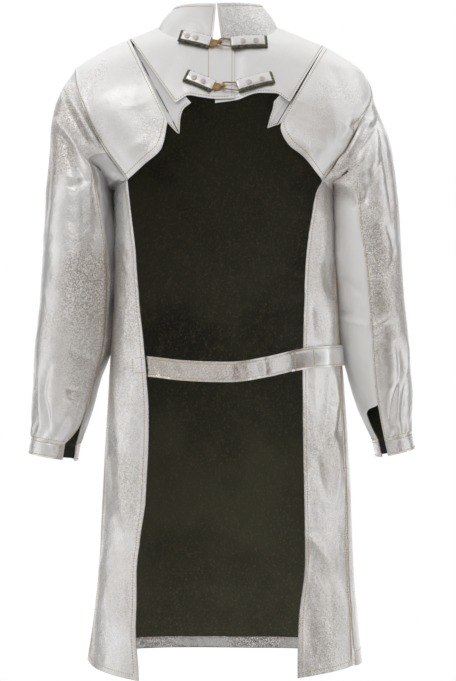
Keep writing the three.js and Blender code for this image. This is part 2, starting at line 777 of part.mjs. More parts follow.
for (const name of ["left", "right"]) {
  const side = SIDES[name];
  const along = shares(FACETS.sleeveAlong);
  for (const [kind, startTurns] of [["upper", upperTurns], ["under", underTurns]]) {
    const piece = `${kind}_sleeve_${name}`;
    const span = startTurns.at(-1) - startTurns[0];
    const us = startTurns.map((turn) => (turn - startTurns[0]) / span);
    const size = { u: kind === "upper" ? 270 : 130, v: 600 };
    const sheet = withFolds(
      sleeveSheet(side, startTurns), FOLDS[piece] ?? [], size, side.sign,
      ["u0", "u1", "v0", "v1"],
    );
    addPiece(piece, wall(net(sheet, us, along, side.sign, SLEEVE_GAP), CLOTH), "silver");
  }
}

// Cuffs: bands below the sleeves, open at the vent, with a black tape across the opening
function cuffSheet(side, fromTurn, toTurn, inset, top, deep) {
  const row = side.sleeve.at(-1);
  const tilt = degToRad(row.tilt);
  const down = new THREE.Vector3(side.sign * Math.sin(tilt), 0, -Math.cos(tilt));
  const ring = { ...row, across: row.across - inset, deep: row.deep - inset };
  return (u, v) => {
    const point = sleeveRing(side, ring, lerp(fromTurn, toTurn, u));
    return point.addScaledVector(down, top + deep * v);
  };
}

for (const name of ["left", "right"]) {
  const side = SIDES[name];
  const vent = side.backSeam.at(-1).turn;
  const full = SLEEVE_TURN.full;
  const band = cuffSheet(side, vent + side.vent, vent + full - side.vent, 0, CUFF_SEAT, CUFF_DEEP);
  const bandNet = net(band, shares(FACETS.cuffAround), [0, 1], side.sign, 0);
  addPiece(`cuff_${name}`, wall(bandNet, CUFF_CLOTH), "silver");
  const inset = CUFF_CLOTH + TUCK_GAP;
  const top = CUFF_SEAT + (CUFF_DEEP - TAPE_DEEP) / 2;
  const half = side.vent + TAPE_LAP;
  const tape = cuffSheet(side, vent - half, vent + half, inset, top, TAPE_DEEP);
  const tapeNet = net(tape, shares(FACETS.tapeAround), [0, 1], side.sign, 0);
  addPiece(`cuff_tape_${name}`, wall(tapeNet, TAPE_CLOTH), "black");
}

// Collar: a band that stands on the neck seam and leans in, slit at the centre back
function collarSheet(u, v) {
  const first = lerp(COLLAR_SLIT.leftBase, COLLAR_SLIT.leftTop, v);
  const last = 360 - lerp(COLLAR_SLIT.rightBase, COLLAR_SLIT.rightTop, v);
  const turn = lerp(first, last, u);
  const angle = degToRad(turn);
  const rear = Math.cos(angle) > 0;
  const z = (rear ? NECK_BACK : -NECK_FRONT) * Math.cos(angle);
  const seat = new THREE.Vector2(-NECK_HALF * Math.sin(angle), z);
  const base = rear ? onBack(seat) : onFront(seat);
  base.z += COLLAR_SEAT;
  const top = new THREE.Vector3(
    -COLLAR_TOP_HALF * Math.sin(angle),
    -read(COLLAR_TOP, "turn", clamp(turn, 0, 360), "deep") * Math.cos(angle),
    read(COLLAR_TOP, "turn", clamp(turn, 0, 360), "z"),
  );
  const bulge = COLLAR_BULGE * Math.sin(Math.PI * v);
  const outward = new THREE.Vector3(-Math.sin(angle), -Math.cos(angle), 0);
  return base.lerp(top, v).addScaledVector(outward, bulge);
}

const collarNet = net(collarSheet, shares(FACETS.collarAround), shares(FACETS.collarUp), -1, 0);
addPiece("collar", wall(collarNet, COLLAR_CLOTH), "silver");

// Waist strap and the tab over its end
function strapSheet(from, to, half, extra) {
  const girthSheet = (turn, z) => girth(degToRad(-turn), z);
  return (u, v) => {
    const turn = lerp(from, to, u);
    const z = read(STRAP, "turn", turn, "z") + lerp(-half, half, v);
    const across = girthSheet(turn + 0.5, z).sub(girthSheet(turn - 0.5, z));
    const up = girthSheet(turn, z + 0.5).sub(girthSheet(turn, z - 0.5));
    const out = across.cross(up).normalize();
    return girthSheet(turn, z).addScaledVector(out, read(STRAP, "turn", turn, "lift") + extra);
  };
}

const strap = strapSheet(STRAP[0].turn, STRAP.at(-1).turn, STRAP_HALF, 0);
const strapNet = net(strap, shares(FACETS.strapAlong), [0, 1], 1, 0);
addPiece("waist_strap", wall(strapNet, STRAP_CLOTH), "silver");
const waistTab = strapSheet(WAIST_TAB.from, WAIST_TAB.to, WAIST_TAB.half, WAIST_TAB.lift);
const waistTabNet = net(waistTab, shares(FACETS.waistTabAlong), [0, 1], 1, 0);
addPiece("waist_tab", wall(waistTabNet, STRAP_CLOTH), "silver");

// Solid joins and cuts
function solidOf(geometry) {
  const plain = new THREE.BufferGeometry();
  plain.setAttribute("position", geometry.getAttribute("position").clone());
  if (geometry.index) {
    plain.setIndex(geometry.index.clone());
  }
  const merged = mergeVertices(plain, 1e-4);
  return new wasm.Manifold(new wasm.Mesh({
    numProp: 3,
    vertProperties: new Float32Array(merged.getAttribute("position").array),
    triVerts: new Uint32Array(merged.index.array),
  }));
}

function geometryOf(solid) {
  const mesh = solid.getMesh();
  const geometry = new THREE.BufferGeometry();
  const places = new Float32Array(mesh.vertProperties);
  geometry.setAttribute("position", new THREE.BufferAttribute(places, 3));
  geometry.setIndex(Array.from(mesh.triVerts));
  return geometry;
}

// A frame on the back: along points away from the tab's inner end, up and out as they lie there
function tabFrame(tab) {
  const inner = new THREE.Vector3(tab.inX, tab.inY, tab.inZ);
  const outer = new THREE.Vector3(tab.outX, tab.outY, tab.outZ);
  const along = outer.clone().sub(inner);
  const length = along.length();
  along.normalize();
  const tilt = degToRad(tab.tilt);
  const lean = new THREE.Vector3(0, -Math.cos(tilt), Math.sin(tilt));
  const up = lean.clone().cross(along).normalize();
  if (up.z < 0) {
    up.negate();
  }
  const out = along.clone().cross(up).normalize();
  if (out.y > 0) {
    out.negate();
  }
  return { inner, along, up, out, length };
}

// Carries a flat shape, with s along, n out and w up, onto a tab's frame with the tab's arch
function carry(geometry, frame, bow) {
  const position = geometry.getAttribute("position");
  const mirrored = frame.along.clone().cross(frame.out).dot(frame.up) < 0;
  for (let i = 0; i < position.count; i += 1) {
    const share = clamp(position.getX(i) / frame.length, 0, 1);
    const rise = position.getY(i) + 4 * bow * share * (1 - share);
    const point = frame.inner.clone().addScaledVector(frame.along, position.getX(i));
    point.addScaledVector(frame.out, rise).addScaledVector(frame.up, position.getZ(i));
    position.setXYZ(i, point.x, point.y, point.z);
  }
  if (mirrored) {
    const index = Array.from(geometry.index.array);
    for (let i = 0; i < index.length; i += 3) {
      [index[i + 1], index[i + 2]] = [index[i + 2], index[i + 1]];
    }
    geometry.setIndex(index);
  }
  return geometry;
}

function extruded(shape, depth) {
  const settings = { depth, bevelEnabled: false, steps: 1, curveSegments: 6 };
  return new THREE.ExtrudeGeometry(shape, settings).translate(0, 0, -depth / 2);
}

// Tabs: a doubled strip with a slot at the inner end for the hook's tongue or the wire
function tabShape(length) {
  const end = TAB.thick / 2;
  const shape = new THREE.Shape();
  const stops = shares(FACETS.tabAlong).map((t) => lerp(TAB.slotDeep, length - end * 0.4, t));
  shape.moveTo(0, 0.6);
  shape.lineTo(0.8, 0);
  stops.forEach((s) => shape.lineTo(s, 0));
  shape.lineTo(length, 0.8);
  shape.lineTo(length, TAB.thick - 0.8);
  stops.reverse().forEach((s) => shape.lineTo(s, TAB.thick));
  shape.lineTo(0.8, TAB.thick);
  shape.lineTo(0, TAB.thick - 0.6);
  shape.lineTo(0, TAB.slotTo);
  shape.lineTo(TAB.slotDeep, TAB.slotTo);
  shape.lineTo(TAB.slotDeep, TAB.slotFrom);
  shape.lineTo(0, TAB.slotFrom);
  return shape;
}

function rivetShape() {
  const { head, rise, shank, seat } = RIVET;
  const foot = seat - TAB.thick + 0.5;
  const rows = [
    [0, foot], [shank, foot], [shank, seat], [head, seat], [head * 0.9, seat + rise * 0.6], [0, seat + rise],
  ];
  return new THREE.LatheGeometry(rows.map(([r, n]) => new THREE.Vector2(r, n)), RIVET.sides);
}

const tabFrames = {};
for (const tab of TABS) {
  const frame = tabFrame(tab);
  tabFrames[tab.name] = frame;
  let body = solidOf(extruded(tabShape(frame.length), TAB.half * 2));
  [["near", tab.near], ["far", tab.far]].forEach(([which, s]) => {
    const hole = new THREE.CylinderGeometry(RIVET.hole, RIVET.hole, TAB.thick * 3, RIVET.sides);
    body = body.subtract(solidOf(hole.translate(s, 0, 0)));
    const rivet = geometryOf(solidOf(rivetShape().translate(s, TAB.thick, 0)));
    addPiece(`rivet_${tab.name}_${which}`, carry(rivet, frame, tab.bow), "rivet");
  });
  addPiece(`tab_${tab.name}`, carry(geometryOf(body), frame, tab.bow), "webbing");
}

// Hooks and wire loops lie on the line between the two tabs' slots
function claspFrame(left, right) {
  const middle = (TAB.slotFrom + TAB.slotTo) / 2;
  const inner = left.inner.clone().addScaledVector(left.out, middle);
  const outer = right.inner.clone().addScaledVector(right.out, middle);
  const along = outer.clone().sub(inner);
  const length = along.length();
  along.normalize();
  const up = left.out.clone().cross(along).normalize();
  if (up.z < 0) {
    up.negate();
  }
  const out = along.clone().cross(up).normalize();
  if (out.y > 0) {
    out.negate();
  }
  return { inner, along, up, out, length };
}

function hookGeometry() {
  const { tongue, plate, thick, flare, waist, curl, curlIn, curlOut } = HOOK;
  const face = new THREE.Shape();
  face.moveTo(-tongue, -waist);
  face.lineTo(0.8, -waist);
  face.lineTo(0.8, -flare);
  face.quadraticCurveTo(plate * 0.45, -waist, plate, -waist);
  face.lineTo(plate, waist);
  face.quadraticCurveTo(plate * 0.45, waist, 0.8, flare);
  face.lineTo(0.8, waist);
  face.lineTo(-tongue, waist);
  const sheet = extruded(face, thick).rotateX(Math.PI / 2);
  const middle = (curlIn + curlOut) / 2;
  const bend = new THREE.Shape();
  bend.moveTo(plate - 2, -thick / 2);
  bend.lineTo(curl, middle - curlOut);
  bend.absarc(curl, middle, curlOut, -Math.PI / 2, Math.PI * 0.8, false);
  bend.absarc(curl, middle, curlIn, Math.PI * 0.8, -Math.PI / 2, true);
  bend.lineTo(plate - 2, thick / 2);
  const curled = extruded(bend, HOOK_HALF * 2);
  return geometryOf(solidOf(sheet).add(solidOf(curled)));
}

function loopGeometry(length) {
  const { radius, baseHalf, apexHalf, anchor, sides, steps } = WIRE;
  const rise = (HOOK.curlIn + HOOK.curlOut) / 2;
  const base = length + anchor;
  const corners = [
    [HOOK.curl, rise, apexHalf], [HOOK.curl + 2.5, rise, apexHalf + 2],
    [length - 1, 0, baseHalf - 1.2], [base - 1.5, 0, baseHalf],
    [base, 0, baseHalf - 2], [base, 0, 2 - baseHalf],
    [base - 1.5, 0, -baseHalf], [length - 1, 0, 1.2 - baseHalf],
    [HOOK.curl + 2.5, rise, -apexHalf - 2], [HOOK.curl, rise, -apexHalf],
  ];
  const stops = corners.map((corner) => new THREE.Vector3(...corner));
  const path = new THREE.CatmullRomCurve3(stops, true, "centripetal");
  const frames = path.computeFrenetFrames(steps, true);
  const places = [];
  const index = [];
  for (let i = 0; i < steps; i += 1) {
    const centre = path.getPointAt(i / steps);
    for (let k = 0; k < sides; k += 1) {
      const angle = (2 * Math.PI * k) / sides;
      const point = centre.clone().addScaledVector(frames.normals[i], radius * Math.cos(angle));
      point.addScaledVector(frames.binormals[i], radius * Math.sin(angle));
      places.push(point.x, point.y, point.z);
      const a = i * sides + k;
      const b = i * sides + ((k + 1) % sides);
      const c = ((i + 1) % steps) * sides + k;
      const d = ((i + 1) % steps) * sides + ((k + 1) % sides);
      index.push(a, b, d, a, d, c);
    }
  }
  const geometry = new THREE.BufferGeometry();
  geometry.setAttribute("position", new THREE.Float32BufferAttribute(places, 3));
  geometry.setIndex(index);
  return geometry;
}

for (const level of ["upper", "lower"]) {
  const frame = claspFrame(tabFrames[`${level}_left`], tabFrames[`${level}_right`]);
  addPiece(`hook_${level}`, carry(hookGeometry(), frame, 0), "brass");
  addPiece(`loop_${level}`, carry(loopGeometry(frame.length), frame, 0), "bronze");
}

export default coat;
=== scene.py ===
import math
from types import SimpleNamespace

import bpy
import numpy as np
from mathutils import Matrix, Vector, noise


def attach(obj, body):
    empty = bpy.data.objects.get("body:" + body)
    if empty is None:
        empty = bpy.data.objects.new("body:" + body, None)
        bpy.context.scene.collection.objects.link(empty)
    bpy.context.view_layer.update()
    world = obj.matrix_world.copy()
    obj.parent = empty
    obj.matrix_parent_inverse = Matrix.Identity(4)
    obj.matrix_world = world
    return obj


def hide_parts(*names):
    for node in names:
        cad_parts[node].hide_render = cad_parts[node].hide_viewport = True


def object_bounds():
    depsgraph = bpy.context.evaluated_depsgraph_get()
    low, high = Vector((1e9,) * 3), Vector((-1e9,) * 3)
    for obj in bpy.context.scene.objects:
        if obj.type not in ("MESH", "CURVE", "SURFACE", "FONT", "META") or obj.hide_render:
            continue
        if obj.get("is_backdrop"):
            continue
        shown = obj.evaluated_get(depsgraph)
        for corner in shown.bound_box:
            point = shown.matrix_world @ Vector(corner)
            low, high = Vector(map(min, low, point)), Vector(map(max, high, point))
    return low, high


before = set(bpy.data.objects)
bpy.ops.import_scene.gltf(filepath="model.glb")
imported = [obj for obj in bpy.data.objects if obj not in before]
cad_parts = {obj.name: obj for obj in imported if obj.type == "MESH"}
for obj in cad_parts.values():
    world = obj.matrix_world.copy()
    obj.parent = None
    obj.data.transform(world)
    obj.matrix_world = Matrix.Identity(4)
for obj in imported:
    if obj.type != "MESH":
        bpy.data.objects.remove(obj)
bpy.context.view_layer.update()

# Front panel
# One width of aluminized twill, sewn in at both side seams and hanging to the knee, and cut to the neck
# and the shoulder seams above. Sizes in this script are millimetres until a mesh is made.
MM = 0.001
CLOTH = 1.5
ARMPIT = -272
HEM_FRONT = -1041
HEM_SIDE = -1029
NECK_HALF = 97
NECK_FRONT = -75
NECK_SHARE = 0.2
FRONT_SHARE = 0.588
SQUARE = 2.4
CREST_EASE = 1.8
FAR_OUT = 400
EDGE_STEPS = 400


def table(columns, *rows):
    """A short table, as one array for each named column."""
    return dict(zip(columns.split(), np.array(rows, float).T))


BODY = table(
    "z wide front back lean",
    (-1043, 224, 140, 155, 11),
    (-890, 208, 137, 147, 15),
    (-740, 201, 134, 139, 15),
    (-570, 190, 131, 132, 14),
    (-420, 182, 128, 129, 12),
    (-272, 180, 124, 128, 8),
    (-200, 224, 112, 124, 4),
    (-126, 256, 96, 112, 0),
    (-77, 239, 79, 95, 0),
    (-39, 186, 62, 77, 0),
    (-19, 140, 50, 62, 0),
    (0, 97, 36, 42, 0),
)
LEFT = SimpleNamespace(
    name="left",
    sign=-1,
    shoulder_tip=-70,
    front_armhole=table(
        "t out z", (0, 172, ARMPIT), (0.2, 164, -240), (0.5, 176, -190), (0.78, 205, -120), (1, 233.5, -70),
    ),
    side_seam=table("z turn", (-1043, 97), (-700, 95), (ARMPIT, 90)),
)
RIGHT = SimpleNamespace(
    name="right",
    sign=1,
    shoulder_tip=-88,
    front_armhole=table(
        "t out z", (0, 188, ARMPIT), (0.2, 181, -240), (0.5, 192, -193), (0.78, 220, -132), (1, 244.9, -88),
    ),
    side_seam=table("z turn", (-1043, 116), (-700, 111), (-450, 101), (ARMPIT, 90)),
)
SIDES = (LEFT, RIGHT)


def between(keys, values, at):
    """Smooth values between their keys, without overshoot; a value may be a whole grid of points."""
    keys = np.asarray(keys, float)
    values = np.asarray(values, float)
    steps = np.diff(keys).reshape(-1, *[1] * (values.ndim - 1))
    slope = np.diff(values, axis=0) / steps
    product = slope[:-1] * slope[1:]
    total = np.where(product > 0, slope[:-1] + slope[1:], 1)
    inner = np.where(product > 0, 2 * product / total, 0)
    tangent = np.concatenate([slope[:1], inner, slope[-1:]])
    place = np.clip(at, keys[0], keys[-1])
    first = np.clip(np.searchsorted(keys, place) - 1, 0, len(keys) - 2)
    span = keys[first + 1] - keys[first]
    t = (place - keys[first]) / span

    def row(stack, index):
        if stack.ndim == 1:
            return stack[index]
        return np.take_along_axis(stack, index[None, ..., None], 0)[0]

    if values.ndim > 1:
        span = span[..., None]
        t = t[..., None]
    rise = t * t * (3 - 2 * t)
    start = t * (1 - t) ** 2 * span * row(tangent, first)
    end = t * t * (1 - t) * span * row(tangent, first + 1)
    return row(values, first) * (1 - rise) + row(values, first + 1) * rise + start - end


def read(rows, key, at, column):
    return between(rows[key], rows[column], at)


def mix(a, b, share):
    return a * (1 - share) + b * share


def smooth(low, high, value):
    t = np.clip((value - low) / (high - low), 0, 1)
    return t * t * (3 - 2 * t)


def signed_power(value, power):
    return np.sign(value) * np.abs(value) ** power


def girth(turn, z):
    """A point of the coat's girth; the turn is 0 at the front and a quarter at the wearer's right."""
    s = np.sin(turn)
    c = np.cos(turn)
    deep = np.where(c >= 0, read(BODY, "z", z, "front"), read(BODY, "z", z, "back"))
    x = read(BODY, "z", z, "lean") + read(BODY, "z", z, "wide") * signed_power(s, 2 / SQUARE)
    return np.stack([x, deep * signed_power(c, 2 / SQUARE), z + 0 * x], -1)


def front_turn(x, z):
    share = (x - read(BODY, "z", z, "lean")) / read(BODY, "z", z, "wide")
    return np.arcsin(signed_power(np.clip(share, -1, 1), SQUARE / 2))


def on_front(place):
    return girth(front_turn(place[..., 0], place[..., 1]), place[..., 1])


def on_back(place):
    return girth(math.pi - front_turn(place[..., 0], place[..., 1]), place[..., 1])


def within(x, z):
    """A place seen from behind, kept inside the girth's width."""
    lean = read(BODY, "z", z, "lean")
    wide = read(BODY, "z", z, "wide")
    return np.stack([np.clip(x, lean - wide, lean + wide), z + 0 * lean], -1)


def outline(side, rows, t):
    return within(side.sign * read(rows, "t", t, "out"), read(rows, "t", t, "z"))


def crest(sign, z):
    """The shoulder's ridge line at a height, which is as far out as the girth goes."""
    return within(sign * FAR_OUT, z)


def ease(v):
    return 1 - (1 - v) ** CREST_EASE


def ease_back(w):
    return 1 - (1 - np.clip(w, 0, 1)) ** (1 / CREST_EASE)


def filled(bottom, top, first, last):
    """Fills a four-sided place between its edges; u runs along bottom and top, v along first and last."""
    def place(u, v):
        a = u[..., None]
        b = v[..., None]
        zero = np.zeros_like(u)
        corners = mix(mix(bottom(zero), bottom(zero + 1), a), mix(top(zero), top(zero + 1), a), b)
        return mix(bottom(u), top(u), b) + mix(first(v), last(v), a) - corners

    return place


def front_below(u, v):
    middle = 1 - np.abs(2 * u - 1)
    z = mix(mix(HEM_SIDE, HEM_FRONT, np.sqrt(middle)), ARMPIT, v)
    left = -read(LEFT.side_seam, "z", z, "turn")
    right = read(RIGHT.side_seam, "z", z, "turn")
    return girth(np.radians(mix(left, right, u)), z)


def neck_and_shoulders(u):
    sign = np.where(u < 0.5, -1, 1)
    tip = np.where(u < 0.5, LEFT.shoulder_tip, RIGHT.shoulder_tip)
    reach = np.minimum(u, 1 - u)
    ridge = crest(sign, mix(tip, 0, np.clip(reach / NECK_SHARE, 0, 1)))
    turn = np.radians(mix(90, 0, np.clip((reach - NECK_SHARE) / (0.5 - NECK_SHARE), 0, 1)))
    neck = np.stack([sign * NECK_HALF * np.sin(turn), NECK_FRONT * np.cos(turn)], -1)
    return np.where((reach < NECK_SHARE)[..., None], ridge, neck)


def front_armhole(side):
    """The armhole's front edge, by its share of the height from armpit to shoulder tip."""
    rows = side.front_armhole
    t = np.linspace(0, 1, EDGE_STEPS)
    height = read(rows, "t", t, "z")
    return lambda w: outline(side, rows, np.interp(mix(ARMPIT, side.shoulder_tip, w), height, t))


def chest_line(u):
    """The front at the height of the armpits, as seen from behind."""
    return front_below(u, 1 + 0 * u)[..., [0, 2]]


front_above = filled(chest_line, neck_and_shoulders, front_armhole(LEFT), front_armhole(RIGHT))


def front_sheet(u, v):
    below = front_below(u, np.clip(v / FRONT_SHARE, 0, 1))
    above = on_front(front_above(u, ease(np.clip((v - FRONT_SHARE) / (1 - FRONT_SHARE), 0, 1))))
    return np.where((v <= FRONT_SHARE)[..., None], below, above)


def unit(vectors):
    return vectors / np.maximum(np.linalg.norm(vectors, axis=-1, keepdims=True), 1e-9)


NORMAL_STEP = 0.003
SEED_STEP = 17.3
CRUMPLE = SimpleNamespace(level=0.45, sharp=1.6)
CREASE = SimpleNamespace(steps=12, taper=0.7, rounding=0.4, turned_away=0.4)


def outward(sheet, u, v, facing):
    """The direction that a sheet's outer face looks in."""
    across = sheet(np.minimum(u + NORMAL_STEP, 1), v) - sheet(np.maximum(u - NORMAL_STEP, 0), v)
    up = sheet(u, np.minimum(v + NORMAL_STEP, 1)) - sheet(u, np.maximum(v - NORMAL_STEP, 0))
    return facing * unit(np.cross(across, up))


def noise_at(points, size, seed, stretch=1):
    """Smooth noise from about -1 to 1 whose lumps are size across, drawn out in height by stretch."""
    places = points / np.array([size, size, size * stretch]) + seed * SEED_STEP
    values = [noise.noise(p) for p in places.reshape(-1, 3).tolist()]
    return np.array(values).reshape(points.shape[:-1])


def swell(size, high, seed, stretch=1):
    """Soft hollows and swellings of slack cloth."""
    return lambda s: high * noise_at(s.points, size, seed, stretch)


def crumple(size, high, seed, stretch=1):
    """The crisp little ridges that stiff coated cloth keeps after it was crushed."""
    return lambda s: high * (CRUMPLE.level - CRUMPLE.sharp * np.abs(noise_at(s.points, size, seed, stretch)))


def folds(*rows):
    """Folds as seen from one side: each bends from a start by a place to an end, in or out."""
    return table("x z by_x by_z to_x to_z wide high", *rows)


def creases(rows, facing):
    """Lifts the cloth along its folds, which are sharp along the ridge and fade towards both ends."""
    def rise(s):
        seen = smooth(0, CREASE.turned_away, facing * s.normals[..., 1])
        places = s.points[..., [0, 2]]
        t = np.linspace(0, 1, CREASE.steps + 1)[:, None]
        total = 0
        for x, z, by_x, by_z, to_x, to_z, wide, high in zip(*rows.values()):
            line = (1 - t) ** 2 * (x, z) + 2 * t * (1 - t) * (by_x, by_z) + t ** 2 * (to_x, to_z)
            nearest = np.full(places.shape[:-1], np.inf)
            along = np.zeros(places.shape[:-1])
            for i in range(CREASE.steps):
                run = line[i + 1] - line[i]
                start = places - line[i]
                share = np.clip(start @ run / (run @ run), 0, 1)
                away = np.linalg.norm(start - share[..., None] * run, axis=-1)
                along = np.where(away < nearest, (i + share) / CREASE.steps, along)
                nearest = np.minimum(nearest, away)
            taper = np.sin(math.pi * np.clip(along, 0.001, 0.999)) ** CREASE.taper
            ridge = np.exp(CREASE.rounding - np.hypot(nearest / wide, CREASE.rounding))
            total = total + high * taper * ridge
        return total * seen

    return rise


def edge_distance(s, edge):
    """How far a point lies from one of its sheet's four edges."""
    share = {"first": s.u, "last": 1 - s.u, "bottom": s.v, "top": 1 - s.v}[edge]
    return share * (s.size[0] if edge in ("first", "last") else s.size[1])


HEM_FADE = 1.5
STITCH_DIP = SimpleNamespace(deep=0.6, wide=1.6)
SEAM_ROLL = SimpleNamespace(away=7, wide=5)
SEAM_DIP_WIDE = 2.6


def hem(edge, wide=11, high=0.9, stitch=8):
    """A turned edge: the doubled cloth stands up a little, and the row of stitches pulls it in."""
    def rise(s):
        away = edge_distance(s, edge)
        doubled = high * (1 - smooth(wide - HEM_FADE, wide + HEM_FADE, away))
        return doubled - STITCH_DIP.deep * np.exp(-(((away - stitch) / STITCH_DIP.wide) ** 2))

    return rise


def seam(edge, deep=1.2, roll=0.9):
    """A sewn edge: the cloth dips into the seam and rolls up beside it."""
    def rise(s):
        away = edge_distance(s, edge)
        beside = np.exp(-(((away - SEAM_ROLL.away) / SEAM_ROLL.wide) ** 2))
        return roll * beside - deep * np.exp(-((away / SEAM_DIP_WIDE) ** 2))

    return rise


def still(edges, reach=16):
    """Holds folds flat where the cloth is sewn down, so that two pieces meet along their seam."""
    def share(s):
        nearest = np.min([edge_distance(s, edge) for edge in edges], axis=0)
        return smooth(0, reach, nearest)

    return share


def shaped(sheet, facing, size, relief, edges, hold):
    """A sheet with its folds and its worked edges; size is about how wide and long it is."""
    def shape(u, v):
        u = np.asarray(u, float) + 0 * np.asarray(v, float)
        v = np.asarray(v, float) + 0 * u
        points = sheet(u, v)
        normals = outward(sheet, u, v, facing)
        s = SimpleNamespace(points=points, normals=normals, u=u, v=v, size=size)
        rise = sum(part(s) for part in relief) * hold(s) + sum(edge(s) for edge in edges)
        return points + normals * np.broadcast_to(rise, u.shape)[..., None]

    return shape


class Value:
    """A shader socket: sums written with it add their Math nodes."""

    def __init__(self, finish, socket):
        self.finish = finish
        self.socket = socket

    def sum(self, operation, a, b):
        return self.finish.node("ShaderNodeMath", {"operation": operation}, {0: a, 1: b})

    def __add__(self, other):
        return self.sum("ADD", self, other)

    def __sub__(self, other):
        return self.sum("SUBTRACT", self, other)

    def __rsub__(self, other):
        return self.sum("SUBTRACT", other, self)

    def __mul__(self, other):
        return self.sum("MULTIPLY", self, other)

    def __gt__(self, other):
        return self.sum("GREATER_THAN", self, other)

    def __lt__(self, other):
        return self.sum("LESS_THAN", self, other)

    def __abs__(self):
        return self.finish.node("ShaderNodeMath", {"operation": "ABSOLUTE"}, {0: self})

    __radd__ = __add__
    __rmul__ = __mul__


class Finish:
    """A material or a world, and the nodes that make its look."""

    def __init__(self, owner):
        owner.use_nodes = True
        self.owner = owner
        self.tree = owner.node_tree
        self.tree.nodes.clear()

    def node(self, kind, settings, sockets, out=0):
        node = self.tree.nodes.new(kind)
        for key, value in settings.items():
            setattr(node, key, value)
        for key, value in sockets.items():
            socket = node.inputs[key]
            if isinstance(value, Value):
                self.tree.links.new(value.socket, socket)
            elif isinstance(value, tuple) and socket.type == "RGBA":
                socket.default_value = (*value, 1)
            else:
                socket.default_value = value
        return Value(self, node.outputs[out]) if len(node.outputs) else node

    def place(self, kind="Object"):
        return self.node("ShaderNodeTexCoord", {}, {}, kind)

    def axis(self, letter, kind="Object"):
        """How far along one axis a place lies."""
        return self.node("ShaderNodeSeparateXYZ", {}, {"Vector": self.place(kind)}, letter)

    def speckle(self, size, detail=2.0, rough=0.5, stretch=None):
        """Noise whose lumps are about size millimetres across."""
        place = self.place()
        if stretch:
            place = self.node("ShaderNodeMapping", {}, {"Vector": place, "Scale": stretch})
        sockets = {"Vector": place, "Scale": 0.6 / (size * MM), "Detail": detail, "Roughness": rough}
        return self.node("ShaderNodeTexNoise", {}, sockets, "Fac")

    def cells(self, size, out="Distance"):
        """Small random cells about size millimetres across."""
        sockets = {"Vector": self.place(), "Scale": 1 / (size * MM)}
        return self.node("ShaderNodeTexVoronoi", {}, sockets, out)

    def range(self, value, low, high):
        """0 below low and 1 above high, or the other way round, with a soft step between."""
        sockets = {"Value": value, "From Min": low, "From Max": high}
        return self.node("ShaderNodeMapRange", {"interpolation_type": "SMOOTHSTEP"}, sockets)

    def blend(self, share, a, b):
        return self.node("ShaderNodeMix", {"data_type": "RGBA"}, {0: share, 6: a, 7: b}, 2)

    def bump(self, height, deep, strength=1.0, after=None):
        sockets = {"Height": height, "Distance": deep * MM, "Strength": strength}
        if after:
            sockets["Normal"] = after
        return self.node("ShaderNodeBump", {}, sockets)

    def surface(self, sockets):
        shader = self.node("ShaderNodeBsdfPrincipled", {}, sockets)
        self.node("ShaderNodeOutputMaterial", {}, {"Surface": shader})
        return self.owner


BROWN_SHEEN_TINT = (0.82, 0.765, 0.72)
DARK_FLECK_TINT = (0.48, 0.43, 0.39)


def brown_sheen_patches(f):
    """Patches as wide as a hand, with painted brown reflection and a rougher film."""
    return f.range(f.speckle(85, 3.0, 0.5), 0.38, 0.64)


def painted_glints(f):
    """Places with painted glints, a little longer than wide."""
    return f.range(f.speckle(60, 2.0, 0.5, stretch=(1, 1, 0.7)), 0.44, 0.62)


def aluminized(
    name, bright=0.90, rough=0.14, grain=1.0, sparkle=0.3, metallic=0.92, brown=0.1, crinkle=0.4,
    brown_places=brown_sheen_patches, glint_places=painted_glints,
):
    """Aluminium film on twill, crinkled: painted glints and painted dark flecks in places, and in others
    painted brown reflection on a rougher, crazed film.
    """
    f = Finish(bpy.data.materials.new(name))
    brown_places = brown_places(f)
    glint_share = glint_places(f) * sparkle
    grains = f.node("ShaderNodeSeparateColor", {}, {"Color": f.cells(1.2, "Color")}, "Red")
    dust = f.speckle(9, 3.0, 0.6)
    brown_share = brown_places * brown
    film, tan, dark_fleck = (tuple(bright * part for part in tint) for tint in ((1, 1, 1), BROWN_SHEEN_TINT, DARK_FLECK_TINT))
    # Painted brown reflection: the film is tinted brown in the brown patches, and a little by random dust.
    colour = f.blend(brown_share + 0.15 * dust, film, tan)
    # Painted dark flecks: dark cells where glints are painted and in the brown patches.
    colour = f.blend((grains < 0.36) * (0.8 * grain * brown_share + 0.4 * glint_share), colour, dark_fleck)
    # Painted glints: white cells in the base colour.
    colour = f.blend((grains > 0.70) * (0.6 * grain * brown_share + glint_share), colour, (1, 1, 1))
    twill = f.node(
        "ShaderNodeTexWave", {"bands_direction": "DIAGONAL"},
        {"Vector": f.place("UV"), "Scale": 300.0, "Distortion": 1.2, "Detail": 1.0}, "Fac",
    )
    pebble = 0.6 * f.speckle(2.2, 2.0, 0.65) + 0.25 * f.cells(2.0)
    height = pebble * (0.6 + 1.6 * brown_share + 0.8 * glint_share) + 0.12 * twill
    leather = f.speckle(6, 3.0, 0.8, stretch=(1, 1, 2.4))
    ridges = abs(f.speckle(20, 2.0, 0.5) - 0.5) + (0.05 + 0.12 * brown_share + 0.3 * glint_share) * leather
    return f.surface({
        "Base Color": colour,
        "Metallic": metallic,
        "Roughness": rough + 0.06 * brown_places + 0.12 * dust,
        "Normal": f.bump(height, grain, 0.6, f.bump(ridges, 6.0 * crinkle, 0.7)),
    })


